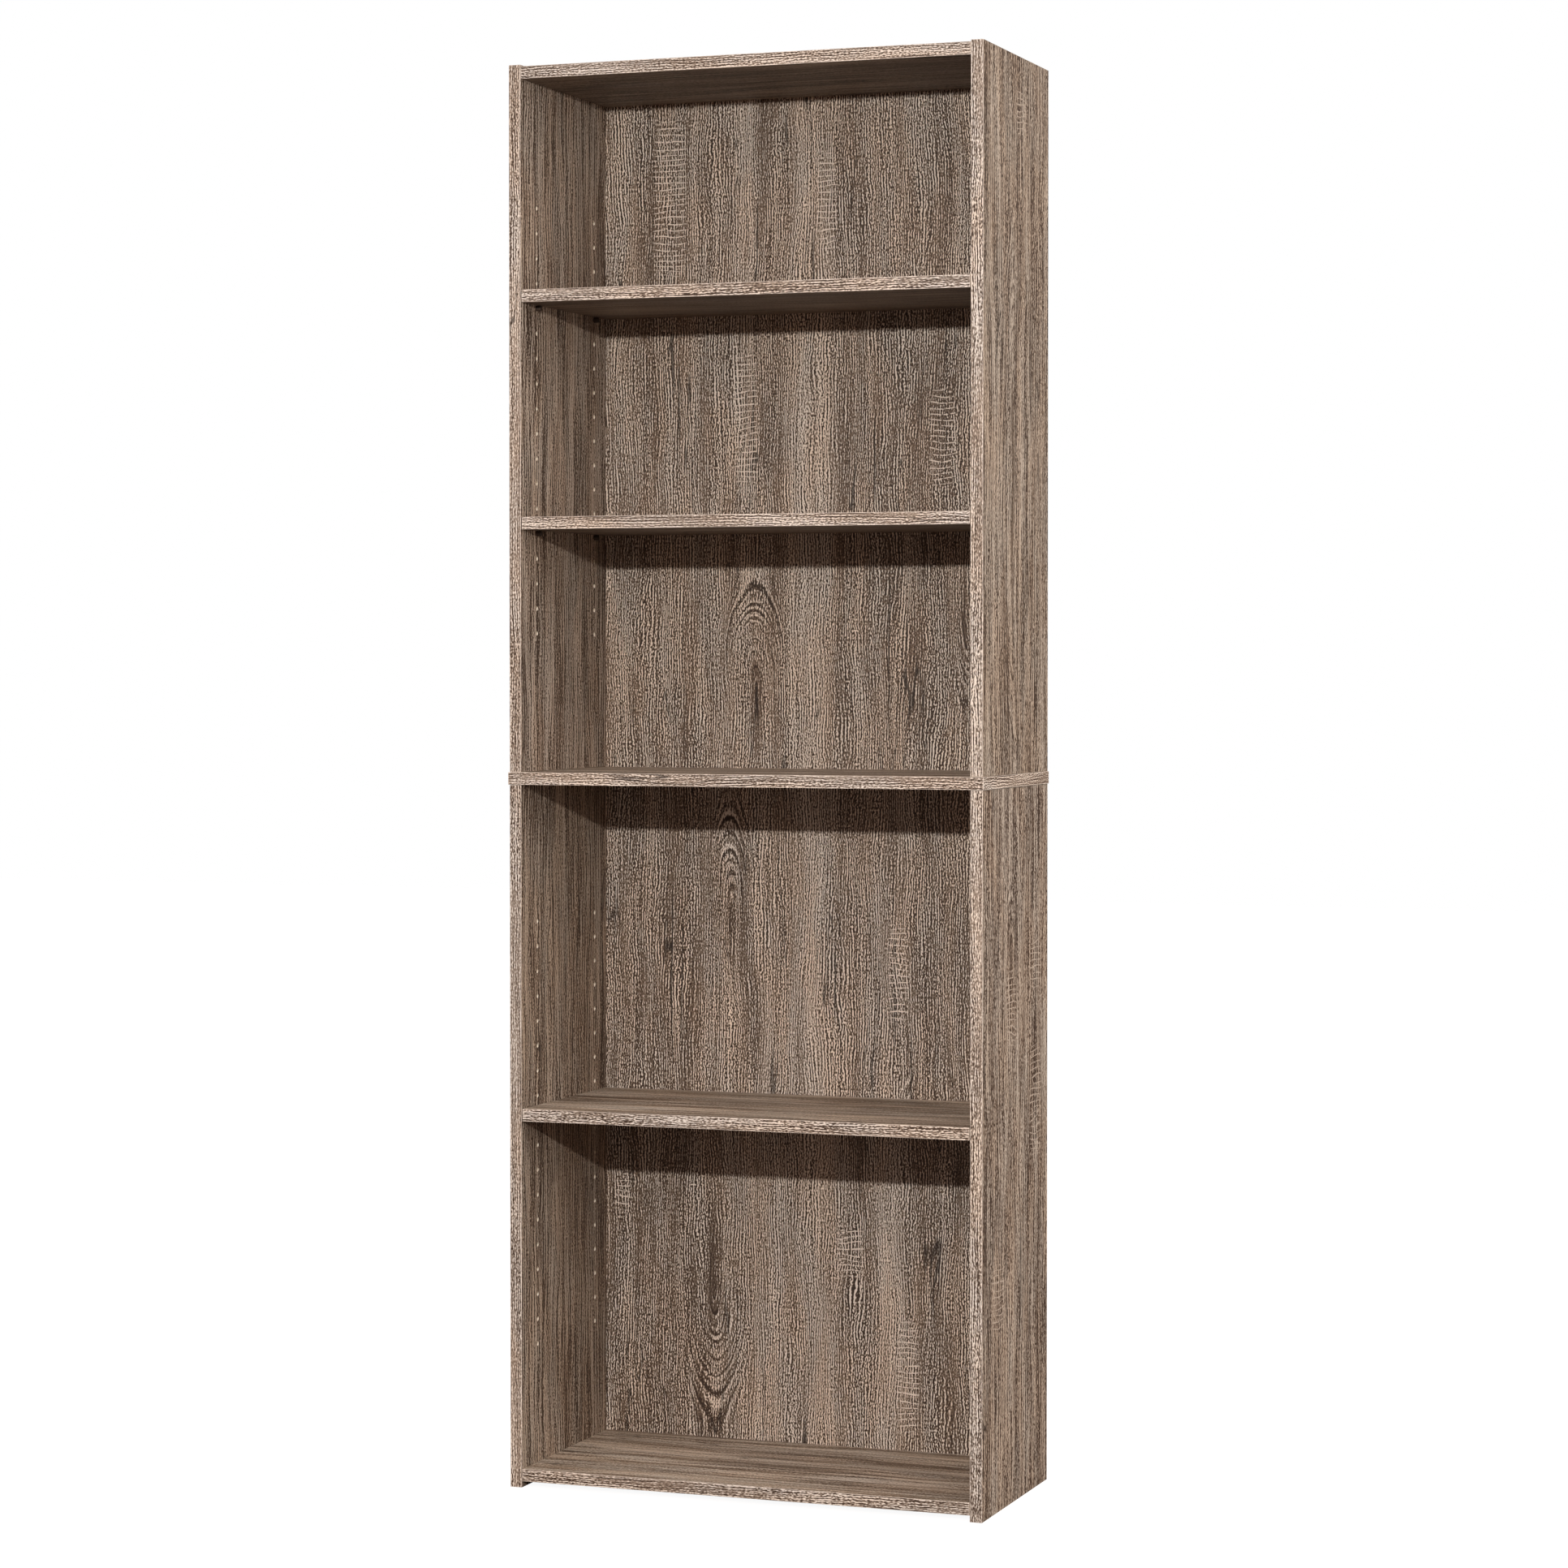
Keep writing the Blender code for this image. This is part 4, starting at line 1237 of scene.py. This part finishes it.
bolts = [cam_bolt(panel, row, side) for panel in END_PANELS for row, side in spots]
screws = [connector_screw(row, side) for row, side in spots]
nails = [back_nail(section, end, side)
         for section in ("lower", "upper") for end in ("low", "high") for side in SIDES]
dowels = [dowel(f"fixed_shelf_dowel_{row}_{side}", (SIDES[side] * EDGE_X, DOWEL_ROWS[ROWS[row]], SHELF_TOP),
                (0, 0, 1)) for row, side in spots]
for panel, ((low, high), _) in END_PANELS.items():
    level = (low[2] + high[2]) / 2
    dowels += [dowel(f"{panel}_dowel_{side_name}", (side * INNER, MIDDLE_Y, level), (-side, 0, 0))
               for side_name, side in SIDES.items()]
print("bolts", len(bolts), "screws", len(screws), "nails", len(nails), "dowels", len(dowels))

# %% [markdown]
# ## Light and floor
# One small hard key stands a little above the top of the bookcase, several metres in
# front, so each shelf throws a crisp shadow on the back. White surroundings fill the rest,
# and a soft panel on the right lifts the outer side. The floor is plain and pale.


# %% Lights
def area_light(name, place, target, size, power, colour=WHITE[:3]):
    """A soft disk of light aimed at a point."""
    data = bpy.data.lights.new(name, "AREA")
    data.shape = "DISK"
    data.size = size
    data.energy = power
    data.color = colour
    light = bpy.data.objects.new(name, data)
    light.location = place
    light.rotation_euler = (Vector(target) - Vector(place)).to_track_quat("-Z", "Y").to_euler()
    bpy.context.scene.collection.objects.link(light)
    return light


FILL_ABOVE = (0.66, 0.565, 0.54, 1.0)
FILL_BELOW = (0.122, 0.071, 0.054, 1.0)

area_light("key", (1.1, -4.23, 1.88), (0.0, 0.0, 0.95), 0.10, 123.0)
area_light("right_panel", (3.2, -0.8, 1.75), (0.315, 0.0, 1.0), 2.0, 60.0, (0.96, 1.0, 1.0))


def white_surroundings():
    """World: white to the camera. To the piece it is a fill that fades from a pale sky
    to a dim warm ground, by how far up each direction points."""
    world = bpy.data.worlds.new("studio")
    bpy.context.scene.world = world
    world.use_nodes = True
    tree = world.node_tree
    background = tree.nodes["Background"]
    _, _, up = axes(add_node(tree, "TexCoord", None, "Generated"))
    fill = blend(rise(up, -0.25, 0.45), FILL_BELOW, FILL_ABOVE)
    seen = add_node(tree, "LightPath", None, "Is Camera Ray")
    feed(background.inputs["Color"], blend(seen, fill, WHITE))


white_surroundings()
bpy.context.scene.view_settings.view_transform = "Standard"
print("lights", [light.name for light in bpy.data.lights])


# %% Floor
def pale_floor():
    """A wide plain sheet. It glows a little to the camera only, so it stays pale."""
    half = 12.0
    mesh = bpy.data.meshes.new("floor")
    corners = [(-half, -half, 0.0), (half, -half, 0.0), (half, half, 0.0), (-half, half, 0.0)]
    mesh.from_pydata(corners, [], [(0, 1, 2, 3)])
    floor = bpy.data.objects.new("floor", mesh)
    bpy.context.scene.collection.objects.link(floor)
    material, tree, shader = new_material("pale_floor", 0.9)
    shader.inputs["Base Color"].default_value = (0.18, 0.15, 0.135, 1.0)
    shader.inputs["Specular IOR Level"].default_value = 0.0
    shader.inputs["Emission Color"].default_value = WHITE
    seen = add_node(tree, "LightPath", None, "Is Camera Ray")
    feed(shader.inputs["Emission Strength"], seen * 0.94)
    mesh.materials.append(material)


pale_floor()
